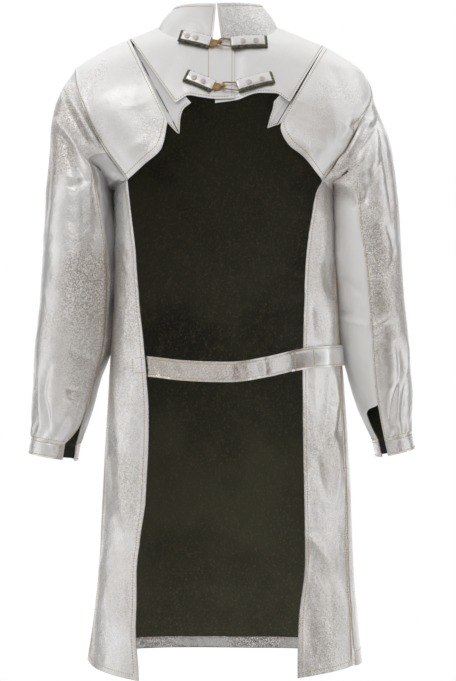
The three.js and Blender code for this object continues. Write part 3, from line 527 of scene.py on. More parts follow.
def felted():
    """Dark woolly backing: charcoal and olive fibres with a soft matted nap, a little paler low down."""
    f = Finish(bpy.data.materials.new("woolly_backing"))
    fibre = f.speckle(2.2, 4.0, 0.75)
    tuft = f.speckle(8, 3.0, 0.65)
    fade = f.speckle(110, 3.0, 0.55)
    pale = f.range(fade, 0.40, 0.62) * 0.55 + f.range(f.axis("Z"), -0.45, -0.75) * 0.5
    colour = f.blend(pale, (0.034, 0.033, 0.024), (0.092, 0.089, 0.057))
    colour = f.blend(f.range(tuft, 0.48, 0.70) * 0.5, colour, (0.095, 0.080, 0.046))
    colour = f.blend(f.range(fibre, 0.5, 0.72) * 0.7, colour, (0.165, 0.155, 0.105))
    return f.surface({
        "Base Color": colour,
        "Roughness": 0.96,
        "Specular IOR Level": 0.15,
        "Sheen Weight": 0.06,
        "Sheen Roughness": 0.6,
        "Normal": f.bump(0.6 * fibre + 0.4 * tuft, 1.2, 0.7),
    })


# Each aluminized finish paints glints, dark flecks and brown reflection into its base colour, by its sparkle
# and brown amounts.
SILVER = aluminized("aluminized_cloth", brown=0.7, crinkle=0.45)
BACKING = felted()


SHARP = math.radians(55)
RIM_COLUMNS = 3


def grid_normals(points, facing):
    across = np.gradient(points, axis=1)
    up = np.gradient(points, axis=0)
    return facing * unit(np.cross(across, up))


def new_piece(name, points, faces, materials, which=None, uv=None):
    """A smooth piece from points in millimetres, with each face's material and places on the flat cloth."""
    mesh = bpy.data.meshes.new(name)
    mesh.from_pydata((np.asarray(points).reshape(-1, 3) * MM).tolist(), [], faces)
    for material in materials:
        mesh.materials.append(material)
    if which is not None:
        mesh.polygons.foreach_set("material_index", np.asarray(which, np.int32))
    if uv is not None:
        corner = np.zeros(len(mesh.loops), np.int32)
        mesh.loops.foreach_get("vertex_index", corner)
        mesh.uv_layers.new(name="cloth").data.foreach_set("uv", np.asarray(uv)[corner].ravel())
    mesh.shade_smooth()
    mesh.set_sharp_from_angle(angle=SHARP)
    mesh.update()
    piece = bpy.data.objects.new(name, mesh)
    bpy.context.scene.collection.objects.link(piece)
    return piece


def cloth(name, shape, facing, size, grid, outside, inside, thick=CLOTH):
    """A closed cloth wall: an outer face on the shape, an inner face one thickness in, and its rims."""
    across, up = grid
    u, v = np.meshgrid(np.linspace(0, 1, across + 1), np.linspace(0, 1, up + 1))
    outer = shape(u, v)
    normals = grid_normals(outer, facing)
    normals[:, :RIM_COLUMNS] = normals[:, [RIM_COLUMNS]]
    normals[:, -RIM_COLUMNS:] = normals[:, [-RIM_COLUMNS - 1]]
    inner = outer - normals * thick
    wide = across + 1
    count = wide * (up + 1)
    a = (np.arange(up)[:, None] * wide + np.arange(across)).ravel()
    quads = np.stack([a, a + 1, a + wide + 1, a + wide], 1)
    low = np.arange(across)
    high = low + up * wide
    left = np.arange(up) * wide
    right = left + across
    rims = np.concatenate([
        np.stack([low, low + count, low + count + 1, low + 1], 1),
        np.stack([high, high + 1, high + count + 1, high + count], 1),
        np.stack([left, left + wide, left + count + wide, left + count], 1),
        np.stack([right, right + count, right + count + wide, right + wide], 1),
    ])
    faces = np.concatenate([quads, rims, quads[:, ::-1] + count])
    if facing < 0:
        faces = faces[:, ::-1]
    which = np.repeat([0, 1], [len(quads) + len(rims), len(quads)])
    flat = np.stack([u * size[0], v * size[1]], -1).reshape(-1, 2) * MM
    points = np.concatenate([outer.reshape(-1, 3), inner.reshape(-1, 3)])
    return new_piece(name, points, faces.tolist(), [outside, inside], which, np.concatenate([flat, flat]))


def cut_of(sheet):
    """The flat cloth that a sheet is cut from: its greatest width and length, and its area, in metres."""
    u, v = np.meshgrid(np.linspace(0, 1, 41), np.linspace(0, 1, 61))
    points = sheet(u, v) * MM
    up = np.linalg.norm(np.diff(points, axis=0), axis=-1)
    cell = np.cross(points[1:, 1:] - points[:-1, :-1], points[1:, :-1] - points[:-1, 1:])
    strips = np.linalg.norm(cell, axis=-1).sum(1) / 2
    width = (strips / up.mean(1)).max()
    length = up.sum(0).max()
    return (width, length), min(strips.sum(), width * length)


def stands_for(piece, node):
    """Puts a piece on the coat in place of its plain solid."""
    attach(piece, "root")
    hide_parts(node)


def fit(piece, sheet, node):
    """Puts a cloth piece on the coat in place of its solid, and works out the flat cloth it is cut from."""
    stands_for(piece, node)
    flat, area = cut_of(sheet)


STITCH = SimpleNamespace(pitch=4.2, long=3.3, radius=0.58, sides=5, start=0.3)
STITCH_ARCH = table(
    "share thick lift",
    (0, 0.45, -0.35), (0.22, 0.95, 0.25), (0.5, 1.05, 0.4), (0.78, 0.95, 0.25), (1, 0.45, -0.35),
)
ROW_STEPS = 500


def aramid_thread():
    """Tan aramid sewing thread, twisted and a little fuzzy."""
    f = Finish(bpy.data.materials.new("tan_thread"))
    twist = f.speckle(1.2, 2.0, 0.6)
    return f.surface({
        "Base Color": f.blend(twist, (0.42, 0.33, 0.17), (0.64, 0.53, 0.32)),
        "Roughness": 0.75,
        "Normal": f.bump(twist, 0.3, 0.5),
    })


THREAD = aramid_thread()


def line_on(shape, facing, u, v, steps=ROW_STEPS):
    """A line on a shape and the way it faces there; u and v are numbers, or pairs to run between."""
    def run(value):
        return np.linspace(*value, steps) if isinstance(value, tuple) else np.full(steps, float(value))

    us = run(u)
    vs = run(v)
    return shape(us, vs), outward(shape, us, vs, facing)


def rows_on(shape, facing, size, *rows):
    """Lines beside a sheet's edges: each row has an edge, a distance in from it and a span along it."""
    lines = []
    for edge, away, start, end in rows:
        upright = edge in ("first", "last")
        share = away / size[0 if upright else 1]
        share = share if edge in ("first", "bottom") else 1 - share
        place = (share, (start, end)) if upright else ((start, end), share)
        lines.append(line_on(shape, facing, *place))
    return lines


def circle_ways(aside, other, sides):
    """Directions all round each point of a line."""
    angle = np.arange(sides) * 2 * math.pi / sides
    return aside[:, None] * np.cos(angle)[:, None] + other[:, None] * np.sin(angle)[:, None]


def tube_faces(count, sides, first=0, closed=False):
    """Faces through rings of points, counted from the first one, with flat ends or closed in a loop."""
    a = first + np.arange(count * sides).reshape(count, sides)
    b = np.roll(a, -1, axis=1)
    quads = np.stack([a, b, np.roll(b, -1, axis=0), np.roll(a, -1, axis=0)], -1)
    if closed:
        return quads.reshape(-1, 4).tolist()
    return quads[:-1].reshape(-1, 4).tolist() + [a[0, ::-1].tolist(), a[-1].tolist()]


def sewn(name, *lines):
    """Rows of stitches: each is a short arched piece of thread that dips into the cloth at both ends."""
    points = []
    faces = []
    count = len(STITCH_ARCH["share"])
    for path, normals in lines:
        length = np.concatenate([[0], np.cumsum(np.linalg.norm(np.diff(path, axis=0), axis=1))])
        for start in np.arange(STITCH.pitch * STITCH.start, length[-1] - STITCH.long, STITCH.pitch):
            at = start + STITCH_ARCH["share"] * STITCH.long
            centre = np.stack([np.interp(at, length, path[:, k]) for k in range(3)], 1)
            up = unit(np.stack([np.interp(at, length, normals[:, k]) for k in range(3)], 1))
            aside = unit(np.cross(unit(np.gradient(centre, axis=0)), up))
            centre = centre + up * (STITCH_ARCH["lift"] * STITCH.radius)[:, None]
            thick = (STITCH_ARCH["thick"] * STITCH.radius)[:, None, None]
            faces.extend(tube_faces(count, STITCH.sides, len(points) * count * STITCH.sides))
            points.append((centre[:, None] + circle_ways(aside, up, STITCH.sides) * thick).reshape(-1, 3))
    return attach(new_piece(name, np.concatenate(points), faces, [THREAD]), "root")


def dress(
    name, sheet, shape, facing, size, grid, outside, rows,
    inside=BACKING, thick=CLOTH,
):
    """Makes a cloth piece with its rows of stitches, and fits it in place of the solid of that name."""
    thread = sewn(f"{name}_stitching", *rows)
    piece = cloth(f"{name}_cloth", shape, facing, size, grid, outside, inside, thick)
    fit(piece, sheet, name)


FRONT_SIZE = (640, 1000)
FRONT_CREASES = folds(
    (-120, -1020, -106, -860, -104, -680, 26, 6),
    (-50, -1035, -58, -900, -62, -750, 22, -5),
    (68, -1035, 78, -900, 84, -730, 24, 6),
    (130, -1010, 116, -860, 106, -680, 24, -5),
    (-36, -140, -80, -190, -128, -258, 16, 4),
    (56, -140, 100, -185, 148, -252, 16, 4),
    (-100, -415, -30, -455, 46, -470, 15, -3),
)
front_shape = shaped(
    front_sheet, -1, FRONT_SIZE,
    [creases(FRONT_CREASES, 1), swell(90, 2.2, 1, 2.5), crumple(46, 0.7, 2, 1.6)],
    [hem("bottom", 20, 0.9, 17), seam("first"), seam("last")],
    still(("first", "last", "top")),
)
front_rows = rows_on(
    front_shape, -1, FRONT_SIZE,
    ("bottom", 17, 0.01, 0.99), ("first", 5, 0.02, 0.57), ("last", 5, 0.02, 0.57),
)
front_thread = sewn("front_stitching", *front_rows)
front_panel = cloth("front_panel_cloth", front_shape, -1, FRONT_SIZE, (120, 150), SILVER, BACKING)
fit(
    front_panel, front_sheet, "front_panel",
)

# Front lining and hem
# The woolly backing shows inside the front, through the open back. Below it the panel's own edge is
# turned up inside and sewn, which leaves a crinkled silver strip.
LINING = 1.0
LINING_DEPTH = CLOTH + 0.8
HEM_TURN = 20
hem_share = HEM_TURN / (ARMPIT - HEM_FRONT) * FRONT_SHARE


def under(shape, facing, depth, us, vs):
    """Part of a shape, one depth further in, for a layer that lies under it."""
    def sheet(u, v):
        a = mix(*us, u)
        b = mix(*vs, v)
        return shape(a, b) - outward(shape, a, b, facing) * depth

    return sheet


LINING_SPAN = (0.05, 0.95)
LINING_TOP = 0.945
lining_sheet = under(front_shape, -1, LINING_DEPTH, LINING_SPAN, (hem_share, LINING_TOP))
lining = cloth("front_lining_felt", lining_sheet, -1, FRONT_SIZE, (110, 110), BACKING, BACKING, LINING)
fit(lining, lining_sheet, "front_lining")

HEM_SIZE = (640, HEM_TURN)
HEM_ROW = 0.86
hem_sheet = under(front_shape, -1, LINING_DEPTH, LINING_SPAN, (0.001, hem_share - 0.0005))
hem_shape = shaped(
    hem_sheet, -1, HEM_SIZE, [crumple(10, 1.1, 5), crumple(5, 0.5, 6)], [], still(("bottom",), 3),
)
hem_inside = under(hem_shape, -1, LINING, (0, 1), (0, 1))
# The turned hem is the front's own film, made darker here as painted shade inside the coat.
CRINKLED = aluminized(
    "crinkled_hem", bright=0.56, rough=0.20, grain=1.2, sparkle=0.6, metallic=0.9, brown=0.6, crinkle=1.0,
)
dress(
    "front_hem", hem_sheet, hem_shape, -1, HEM_SIZE, (260, 12), CRINKLED,
    [line_on(hem_inside, 1, (0.01, 0.99), HEM_ROW)],
    inside=CRINKLED, thick=LINING,
)

# Back flaps
# Two skirts that hang from the underarm to the hem, sewn to the front along the side seams. Their free
# back edges and hems are turned once and top-stitched.
FLAP_SIZE = (150, 770)
LEFT.back_edge = table(
    "z out",
    (-1043, 122), (-950, 127), (-855, 127), (-760, 113), (-637, 108), (-553, 113), (-448, 124), (-353, 132),
    (-258, 144),
)
RIGHT.back_edge = table(
    "z out",
    (-1043, 124), (-950, 127), (-855, 137), (-760, 136), (-637, 134), (-553, 134), (-448, 138), (-353, 144),
    (-280, 156), (-258, 167),
)
LEFT.flap_creases = folds(
    (-112, -850, -140, -832, -172, -800, 20, -6),
    (-168, -556, -150, -660, -154, -795, 14, 5),
    (-198, -1005, -180, -920, -178, -815, 16, 5),
    (-154, -374, -146, -388, -145, -406, 4, 1.6),
    (-146, -366, -148, -380, -144, -390, 3, -1.2),
    (-152, -505, -138, -520, -127, -546, 8, -2.6),
    (-140, -606, -128, -616, -118, -645, 9, 2),
    (-152, -925, -138, -970, -124, -1010, 12, 3),
    (-160, -440, -150, -470, -150, -500, 8, 1.5),
    (-186, -700, -172, -760, -176, -800, 10, -3),
)
LEFT.hem_back = -1043
RIGHT.hem_back = -1037
RIGHT.flap_creases = folds(
    (176, -550, 188, -625, 160, -682, 6, -5),
    (188, -558, 198, -630, 173, -686, 5, 5),
    (193, -610, 196, -640, 191, -674, 4, -3),
    (186, -660, 198, -712, 186, -768, 6, 5),
    (196, -716, 208, -770, 203, -818, 10, 4),
    (144, -816, 160, -840, 184, -878, 9, 4),
    (158, -684, 162, -725, 175, -768, 7, -3.5),
    (202, -895, 210, -950, 206, -1008, 13, 4),
    (150, -1014, 144, -970, 147, -922, 11, -3),
    (170, -430, 178, -480, 172, -528, 15, 7),
    (156, -410, 150, -470, 154, -520, 9, -5),
    (162, -320, 158, -380, 148, -440, 11, -5),
    (174, -385, 182, -420, 188, -450, 9, -5),
    (168, -300, 174, -345, 166, -395, 11, 5),
    (176, -880, 186, -930, 180, -985, 9, -3),
)
SATIN = aluminized("satin_cloth", bright=0.89, rough=0.20, metallic=0.84, brown=0.5, crinkle=0.35)
FLAP_TOP_CURVE = 1.4
SPOT_STEPS = (201, 401)
STRAP_BOX = SimpleNamespace(out_from=113, out_to=133.5, top=-538, bottom=-563)


def flap_sheet(side):
    corner = side.back_edge["z"][-1]

    def sheet(u, v):
        z = mix(mix(HEM_SIDE, side.hem_back, u), mix(ARMPIT, corner, u ** FLAP_TOP_CURVE), v)
        edge = side.sign * read(side.back_edge, "z", z, "out")
        edge_turn = math.pi - side.sign * front_turn(edge, z)
        seam_turn = np.radians(read(side.side_seam, "z", z, "turn"))
        return girth(side.sign * mix(seam_turn, edge_turn, u), z)

    return sheet


def spot(sheet, x, z):
    """Where on a sheet a place seen from behind lies."""
    u, v = np.meshgrid(*(np.linspace(0, 1, steps) for steps in SPOT_STEPS))
    points = sheet(u, v)
    away = np.hypot(points[..., 0] - x, points[..., 2] - z)
    nearest = np.unravel_index(away.argmin(), away.shape)
    return u[nearest], v[nearest]


for side in SIDES:
    facing = -side.sign
    side.flap = flap_sheet(side)
    shape = shaped(
        side.flap, facing, FLAP_SIZE,
        [
            creases(side.flap_creases, -1), swell(70, 2.0, 11, 2.4),
            crumple(34, 1.1, 12, 1.8), crumple(13, 0.4, 13),
        ],
        [hem("bottom"), hem("last"), seam("first")],
        still(("first", "top")),
    )
    rows = rows_on(
        shape, facing, FLAP_SIZE,
        ("last", 8, 0.012, 0.985), ("bottom", 8, 0.02, 0.95),
        ("first", 5, 0.012, 0.98), ("first", 12, 0.012, 0.98),
    )
    if side is LEFT:
        u0, v0 = spot(side.flap, -STRAP_BOX.out_from, STRAP_BOX.top)
        u1, v1 = spot(side.flap, -STRAP_BOX.out_to, STRAP_BOX.bottom)
        rows.extend(line_on(shape, facing, (u0, u1), v) for v in (v0, v1))
        rows.append(line_on(shape, facing, u1, (v0, v1)))
    dress(
        f"flap_{side.name}", side.flap, shape, facing, FLAP_SIZE, (58, 222), SATIN, rows,
    )

# Yokes
# The two halves of the upper back, sewn into the neck seam and the shoulder crest. The left one laps
# over the right one at the centre, and both end in a free stitched hem.
NECK_BACK = -38
YOKE_HEM_SHARE = 0.45
YOKE_SIZE = (300, 120)
PLACKET_ROW_X = -14.5
CALM = aluminized(
    "calm_cloth", bright=0.89, rough=0.26, grain=0.6, sparkle=0.12, metallic=0.80, brown=0.05, crinkle=0.18,
)
BAR_TACK = SimpleNamespace(z=-118, half=4, apart=1.1, rows=3, steps=12)
LEFT.bar_tack = -9
RIGHT.bar_tack = 33
LAP_GAP = 0.9
LAP_FADE = 22
LEFT.lap = 26
RIGHT.lap = 4
LEFT.pleat_top = -21
RIGHT.pleat_top = -33
LEFT.yoke_hem = table(
    "t out z", (0, -26, -131), (0.3, 2, -132), (0.62, 28, -129), (0.84, 46, -126), (1, 67, -138),
)
RIGHT.yoke_hem = table(
    "t out z", (0, -4, -138), (0.3, 30, -133), (0.6, 66, -122), (0.82, 91, -122), (1, 114, -136),
)
LEFT.yoke_creases = folds(
    (-60, -60, -80, -86, -95, -118, 12, -1.4),
    (-20, -105, -38, -114, -52, -118, 7, 1),
)
RIGHT.yoke_creases = folds(
    (62, -70, 86, -92, 104, -120, 11, -1.6),
    (60, -118, 78, -112, 92, -112, 7, 1.2),
)


def neck_back(sign, out):
    turn = np.arcsin(np.clip(out / NECK_HALF, -1, 1))
    return np.stack([sign * out, NECK_BACK * np.cos(turn)], -1)


def back_normal(place):
    across = on_back(place + (0.5, 0)) - on_back(place - (0.5, 0))
    up = on_back(place + (0, 0.5)) - on_back(place - (0, 0.5))
    return unit(np.cross(across, up))


def straight(start, end):
    """A straight edge between two places."""
    return lambda t: mix(np.asarray(start), np.asarray(end), t[..., None])


def pleat_head(side):
    """Where yoke, pleat and shoulder panel meet on the crest."""
    return crest(side.sign, np.array(float(side.pleat_top)))


def yoke_sheet(side):
    rows = side.yoke_hem
    start = (side.sign * rows["out"][0], rows["z"][0])
    corner = (side.sign * rows["out"][-1], rows["z"][-1])
    beside_pleat = straight(corner, pleat_head(side))

    def outer(u):
        below = outline(side, rows, np.clip(u / YOKE_HEM_SHARE, 0, 1))
        beside = beside_pleat(np.clip((u - YOKE_HEM_SHARE) / (1 - YOKE_HEM_SHARE), 0, 1))
        return np.where((u <= YOKE_HEM_SHARE)[..., None], below, beside)

    def neck(u):
        turn = mix(math.asin(-side.lap / NECK_HALF), math.pi / 2, u)
        return neck_back(side.sign, NECK_HALF * np.sin(turn))

    place = filled(
        outer,
        neck,
        straight(start, neck_back(side.sign, np.array(-float(side.lap)))),
        lambda v: crest(side.sign, mix(side.pleat_top, 0, v)),
    )

    def sheet(u, v):
        at = place(ease(u), v)
        beneath = 1 - smooth(LEFT.lap, LEFT.lap + LAP_FADE, at[..., 0])
        sunk = beneath * (CLOTH + LAP_GAP) * (side is RIGHT)
        return on_back(at) - back_normal(at) * sunk[..., None]

    return sheet


def line_at(shape, side, x, v, steps=80):
    """A line on a shape where it meets an upright plane."""
    us = np.linspace(0, 1, 200)
    vs = np.linspace(*v, steps)
    out = [side.sign * shape(us, at + 0 * us)[:, 0] for at in vs]
    crossing = np.array([np.interp(side.sign * x, row, us) for row in out])
    return shape(crossing, vs), outward(shape, crossing, vs, side.sign)


for side in SIDES:
    facing = side.sign
    sheet = yoke_sheet(side)
    shape = shaped(
        sheet, facing, YOKE_SIZE,
        [creases(side.yoke_creases, -1), swell(60, 0.8, 21), crumple(30, 0.3, 22)],
        [hem("bottom", 7, 0.6, 5)],
        still(("first", "last", "top"), 12),
    )
    rows = rows_on(shape, facing, YOKE_SIZE, ("bottom", 5, 0.02, 0.95))
    if side is LEFT:
        rows.extend(rows_on(shape, facing, YOKE_SIZE, ("first", 3, 0.03, 0.95)))
        rows.append(line_at(shape, side, PLACKET_ROW_X, (0.06, 0.93)))
    for i in range(BAR_TACK.rows):
        x = side.bar_tack + (i - 1) * BAR_TACK.apart
        tack, low = spot(sheet, x, BAR_TACK.z - BAR_TACK.half)
        tack, high = spot(sheet, x, BAR_TACK.z + BAR_TACK.half)
        rows.append(line_on(shape, facing, tack, (low, high), BAR_TACK.steps))
    dress(
        f"yoke_{side.name}", sheet, shape, facing, YOKE_SIZE, (130, 70), CALM, rows,
    )

# Shoulder panels
# The back of each shoulder, sewn to the sleeve along the armhole and to the front along the crest. The
# inner edge runs beside the pleat and the lower edge hangs free.
SHOULDER_SIZE = (130, 170)
LEFT.back_armhole = table(
    "t out z",
    (0, 233.5, -70), (0.2, 229, -98), (0.45, 208, -156), (0.7, 183, -204), (0.86, 164, -231), (1, 144, -258),
)
RIGHT.back_armhole = table(
    "t out z",
    (0, 244.9, -88), (0.15, 249, -118), (0.42, 226, -166), (0.68, 206, -211), (0.82, 188, -231),
    (1, 167, -258),
)
LEFT.shoulder_hem = table(
    "t out z", (0, 79, -168), (0.2, 82, -188), (0.4, 88, -210), (0.7, 116, -235), (1, 144, -258),
)
RIGHT.shoulder_hem = table(
    "t out z", (0, 102, -167), (0.14, 99, -178), (0.36, 110, -202), (0.7, 137, -224), (1, 167, -258),
)
LEFT.shoulder_creases = folds(
    (-150, -70, -172, -130, -176, -196, 20, 2.5),
    (-122, -140, -110, -176, -94, -204, 11, -2),
    (-194, -90, -208, -116, -216, -146, 9, -2.4),
    (-152, -218, -128, -204, -108, -194, 9, 1.8),
    (-120, -62, -134, -110, -132, -150, 12, 1.6),
)
RIGHT.shoulder_creases = folds(
    (158, -80, 184, -130, 192, -196, 18, 2.5),
    (214, -176, 224, -160, 246, -162, 7, -9),
    (132, -136, 124, -160, 106, -182, 10, -2),
    (216, -146, 210, -172, 194, -196, 7, 2.6),
    (152, -218, 134, -204, 118, -188, 9, 1.8),
    (176, -70, 196, -96, 204, -136, 10, -1.6),
)
# Painted glints, strong here: white and dark cells in the base colour of the shoulder panels and the tab
# faces.
SPARKLING = aluminized(
    "sparkling_cloth", bright=0.93, rough=0.24, sparkle=0.7, metallic=0.82, brown=0.06, crinkle=0.2,
)


def shoulder_sheet(side):
    rows = side.shoulder_hem
    place = filled(
        lambda u: outline(side, rows, u),
        lambda u: crest(side.sign, mix(side.pleat_top, side.shoulder_tip, u)),
        straight((side.sign * rows["out"][0], rows["z"][0]), pleat_head(side)),
        lambda w: outline(side, side.back_armhole, 1 - ease_back(w)),
    )
    return lambda u, v: on_back(place(u, ease(v)))


for side in SIDES:
    facing = side.sign
    sheet = shoulder_sheet(side)
    shape = shaped(
        sheet, facing, SHOULDER_SIZE,
        [creases(side.shoulder_creases, -1), swell(55, 0.8, 31), crumple(20, 0.25, 32)],
        [hem("bottom", 8, 0.8, 6), hem("first", 7, 0.7, 5), seam("last", 0.6, 1.4)],
        still(("last", "top"), 7),
    )
    rows = rows_on(
        shape, facing, SHOULDER_SIZE,
        ("bottom", 6, 0.03, 0.97), ("first", 5, 0.03, 0.85), ("last", 5, 0.03, 0.96),
    )
    dress(
        f"shoulder_{side.name}", sheet, shape, facing, SHOULDER_SIZE, (80, 90), SPARKLING, rows,
    )

# Expansion pleats
# A folded gusset of paler cloth between yoke and shoulder panel, tucked under both edges. Its lower end
# is stitched off in a small loop and a fang-like point.
PLEAT_CLOTH = 1.3
LEFT.pleat_crease = 0.6
RIGHT.pleat_crease = 0.9
PLEAT_TOP_SHARE = 0.9
PLEAT_SIZE = (60, 130)
PLEAT_DEEP = 10
PLEAT_SHALLOW = 2
TUCK_GAP = 0.9
TUCK_RISE = 1.5
LEFT.pleat_hem = table(
    "t out z", (0, 42, -137), (0.28, 55, -147), (0.45, 60, -163), (0.6, 62, -184), (1, 79, -168),
)
RIGHT.pleat_hem = table(
    "t out z", (0, 90, -135), (0.28, 88, -147), (0.45, 84, -160), (0.6, 80, -176), (1, 102, -167),
)


def pleat_sheet(side):
    top = pleat_head(side)

    def sheet(u, share):
        v = share * PLEAT_TOP_SHARE
        at = mix(outline(side, side.pleat_hem, u), top, v[..., None])
        crease = side.pleat_crease
        fold = np.where(u < crease, u / crease, (1 - u) / (1 - crease))
        tuck = CLOTH + TUCK_GAP * (1 + TUCK_RISE * v)
        depth = tuck + fold * mix(PLEAT_DEEP, PLEAT_SHALLOW, v)
        return on_back(at) - back_normal(at) * depth[..., None]

    return sheet


def navy_edge():
    """Dark blue cotton that binds the pleats and faces the collar inside."""
    f = Finish(bpy.data.materials.new("navy_facing"))
    yarn = f.speckle(1.4, 2.0, 0.6)
    return f.surface({
        "Base Color": f.blend(yarn, (0.012, 0.018, 0.045), (0.03, 0.04, 0.085)),
        "Roughness": 0.85,
        "Normal": f.bump(yarn, 0.5, 0.6),
    })


NAVY = navy_edge()
PIPING = SimpleNamespace(radius=0.55, sides=8, steps=60, lift=0.4, aim=(0.2, -1, 0.1))


def piping(name, line):
    """A thin round edging along a line."""
    ahead = unit(np.gradient(line, axis=0))
    aside = unit(np.cross(ahead, PIPING.aim))
    rings = line[:, None] + PIPING.radius * circle_ways(aside, np.cross(ahead, aside), PIPING.sides)
    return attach(new_piece(name, rings, tube_faces(len(line), PIPING.sides), [NAVY]), "root")


PALE = aluminized(
    "pleat_cloth", bright=0.94, rough=0.40, grain=0.5, sparkle=0.1, metallic=0.1, brown=0.0, crinkle=0.1,
)
for side in SIDES:
    sheet = pleat_sheet(side)
    shape = shaped(
        sheet, side.sign, PLEAT_SIZE,
        [swell(24, 0.5, 41)],
        [hem("bottom", 4, 0.4, 3)],
        still(("first", "last"), 6),
    )
    line, normals = line_on(shape, side.sign, side.pleat_crease, (0.01, 0.97), PIPING.steps)
    bound = piping(f"pleat_{side.name}_piping", line + PIPING.lift * normals)
    dress(
        f"pleat_{side.name}", sheet, shape, side.sign, PLEAT_SIZE, (50, 60), PALE,
        rows_on(shape, side.sign, PLEAT_SIZE, ("bottom", 3, 0.05, 0.97)),
        inside=PALE, thick=PLEAT_CLOTH,
    )

# Sleeves
# Two-piece sleeves of the same stiff cloth, set into the armholes: an upper sleeve over the arm and a
# narrower under sleeve, joined by a back seam that opens in a vent above the wrist.
SLEEVE_TURN = SimpleNamespace(corner=130, armpit=188, full=360, back=97.5, front=237.143)
FRONT_SEAM_TURN = 236
VENT_START = 0.86
UPPER_SIZE = (270, 600)
UNDER_SIZE = (130, 600)
SLEEVE_GRIDS = {"upper": (110, 226), "under": (60, 226)}
ROLL = SimpleNamespace(fade=18, turned_away=0.4, dip=0.6, dip_away=1.75, dip_wide=0.5)
LEFT.vent = table("along upper under", (VENT_START, 0, 0), (0.93, 3, 0), (0.97, 15, 3), (1, 28, 8))
RIGHT.vent = table(
    "along upper under",
    (VENT_START, 0, 0), (0.868, 0.3, 9), (0.878, 0.6, 23), (0.9, 1, 33), (0.94, 2, 31), (1, 3, 20),
)
LEFT.sleeve = table(
    "along out y z across deep tilt",
    (0.16, 225, -10, -214, 57, 73, 38),
    (0.32, 227, -9, -308, 56.5, 70, 14),
    (0.5, 230, -6, -410, 58.5, 66, 4),
    (0.66, 237, 2, -510, 61, 62, 0),
    (0.82, 251, 12, -600, 54, 56, -3),
    (1, 268, 22, -677, 41, 43, 9),
)
RIGHT.sleeve = table(
    "along out y z across deep tilt",
    (0.16, 239, -10, -222, 53, 73, 36),
    (0.32, 244.5, -9, -315, 53, 70, 13),
    (0.5, 249, -6, -415, 53, 66, 4),
    (0.66, 257.5, 2, -512, 55, 62, 0),
    (0.82, 270, 12, -600, 50, 56, -3),
    (1, 287, 22, -670, 33, 45, 13),
)
LEFT.back_seam = table("along turn", (0, 97.5), (0.25, 125), (0.5, 146), (1, 146))
RIGHT.back_seam = table("along turn", (0, 97.5), (0.25, 112), (0.55, 100), (0.85, 108), (1, 122))
LEFT.sleeve_creases = folds(
    (-257, -155, -232, -185, -198, -262, 4.5, 11),
    (-252, -180, -240, -212, -206, -262, 7, -11),
    (-216, -188, -206, -200, -196, -220, 9, 3),
    (-268, -250, -235, -254, -200, -250, 4, 1.8),
    (-266, -262, -235, -267, -206, -262, 5, -2),
    (-270, -178, -277, -262, -277, -352, 4.5, -3.5),
    (-264, -298, -236, -330, -194, -342, 10, -1.5),
    (-268, -350, -232, -372, -192, -402, 11, 1.5),
    (-264, -418, -230, -428, -188, -452, 10, -1.5),
    (-272, -468, -236, -478, -194, -502, 11, 1.5),
    (-258, -523, -225, -530, -190, -554, 7, -2),
    (-252, -596, -238, -614, -224, -606, 4, 3.5),
    (-246, -586, -232, -600, -218, -595, 4, -2.5),
    (-266, -548, -288, -580, -283, -628, 4.5, -4),
    (-290, -538, -293, -600, -288, -652, 4, 3),
    (-287, -598, -273, -626, -271, -664, 4.5, -3.5),
    (-268, -612, -270, -640, -267, -668, 3.5, 3.5),
    (-220, -610, -255, -640, -264, -684, 4, -3),
    (-212, -622, -245, -648, -254, -684, 5, 2),
)
RIGHT.sleeve_creases = folds(
    (188, -254, 214, -254, 229, -284, 5, 12),
    (190, -270, 211, -278, 223, -298, 6, -10),
    (257, -148, 273, -220, 281, -328, 4.5, -5),
    (269, -198, 263, -236, 243, -268, 6, -3),
    (256, -192, 251, -232, 233, -248, 6, 2.4),
    (241, -266, 233, -280, 234, -298, 4, -3),
    (269, -324, 286, -350, 284, -380, 5, -4),
    (289, -360, 283, -390, 266, -410, 5, -3.5),
    (225, -298, 247, -322, 272, -332, 9, 2),
    (221, -344, 244, -373, 270, -388, 8, -2),
    (235, -402, 262, -429, 292, -436, 9, 2),
    (198, -408, 218, -424, 238, -446, 5, -2.5),
    (192, -330, 204, -372, 200, -420, 6, 2.5),
    (206, -520, 222, -560, 232, -606, 7, 2.5),
    (193, -461, 206, -473, 219, -466, 4, -4),
    (197, -475, 228, -482, 258, -499, 4, 3),
    (245, -493, 268, -483, 289, -461, 5, 4.5),
    (235, -509, 252, -509, 269, -498, 5, -3),
    (285, -510, 302, -545, 294, -582, 5, -5.5),
    (302, -498, 314, -535, 305, -572, 4.5, 3),
    (297, -568, 279, -600, 277, -664, 4.5, -4),
    (305, -576, 300, -620, 300, -666, 4, -3.5),
    (293, -583, 290, -625, 290, -666, 4.5, 3.5),
)
LEFT.roll = SimpleNamespace(from_z=-96, to_z=-208, away=13, wide=8, high=11)
RIGHT.roll = SimpleNamespace(from_z=-150, to_z=-246, away=17, wide=13, high=9)
ARMPIT_SLACK = table("v rise", (0, 0), (0.12, 9), (0.3, 7), (0.45, 5), (0.64, 4.5), (0.76, 0))
LEFT.cap = 8
RIGHT.cap = -4


def inner_sleeve_glints(f):
    """Painted glints and a stronger crinkle on the sleeves' inner halves, towards the body; the outer halves
    are smoother.
    """
    return f.range(abs(f.axis("X") - 0.01) + 0.05 * f.speckle(30), 0.292, 0.262)


def brown_sheen_to_elbow(f):
    """Painted brown reflection in patches on the upper sleeves, full down to the elbow and less towards the
    wrist.
    """
    return f.range(f.speckle(85, 3.0, 0.5), 0.37, 0.63) * (0.4 + 0.6 * f.range(f.axis("Z"), -0.52, -0.43))


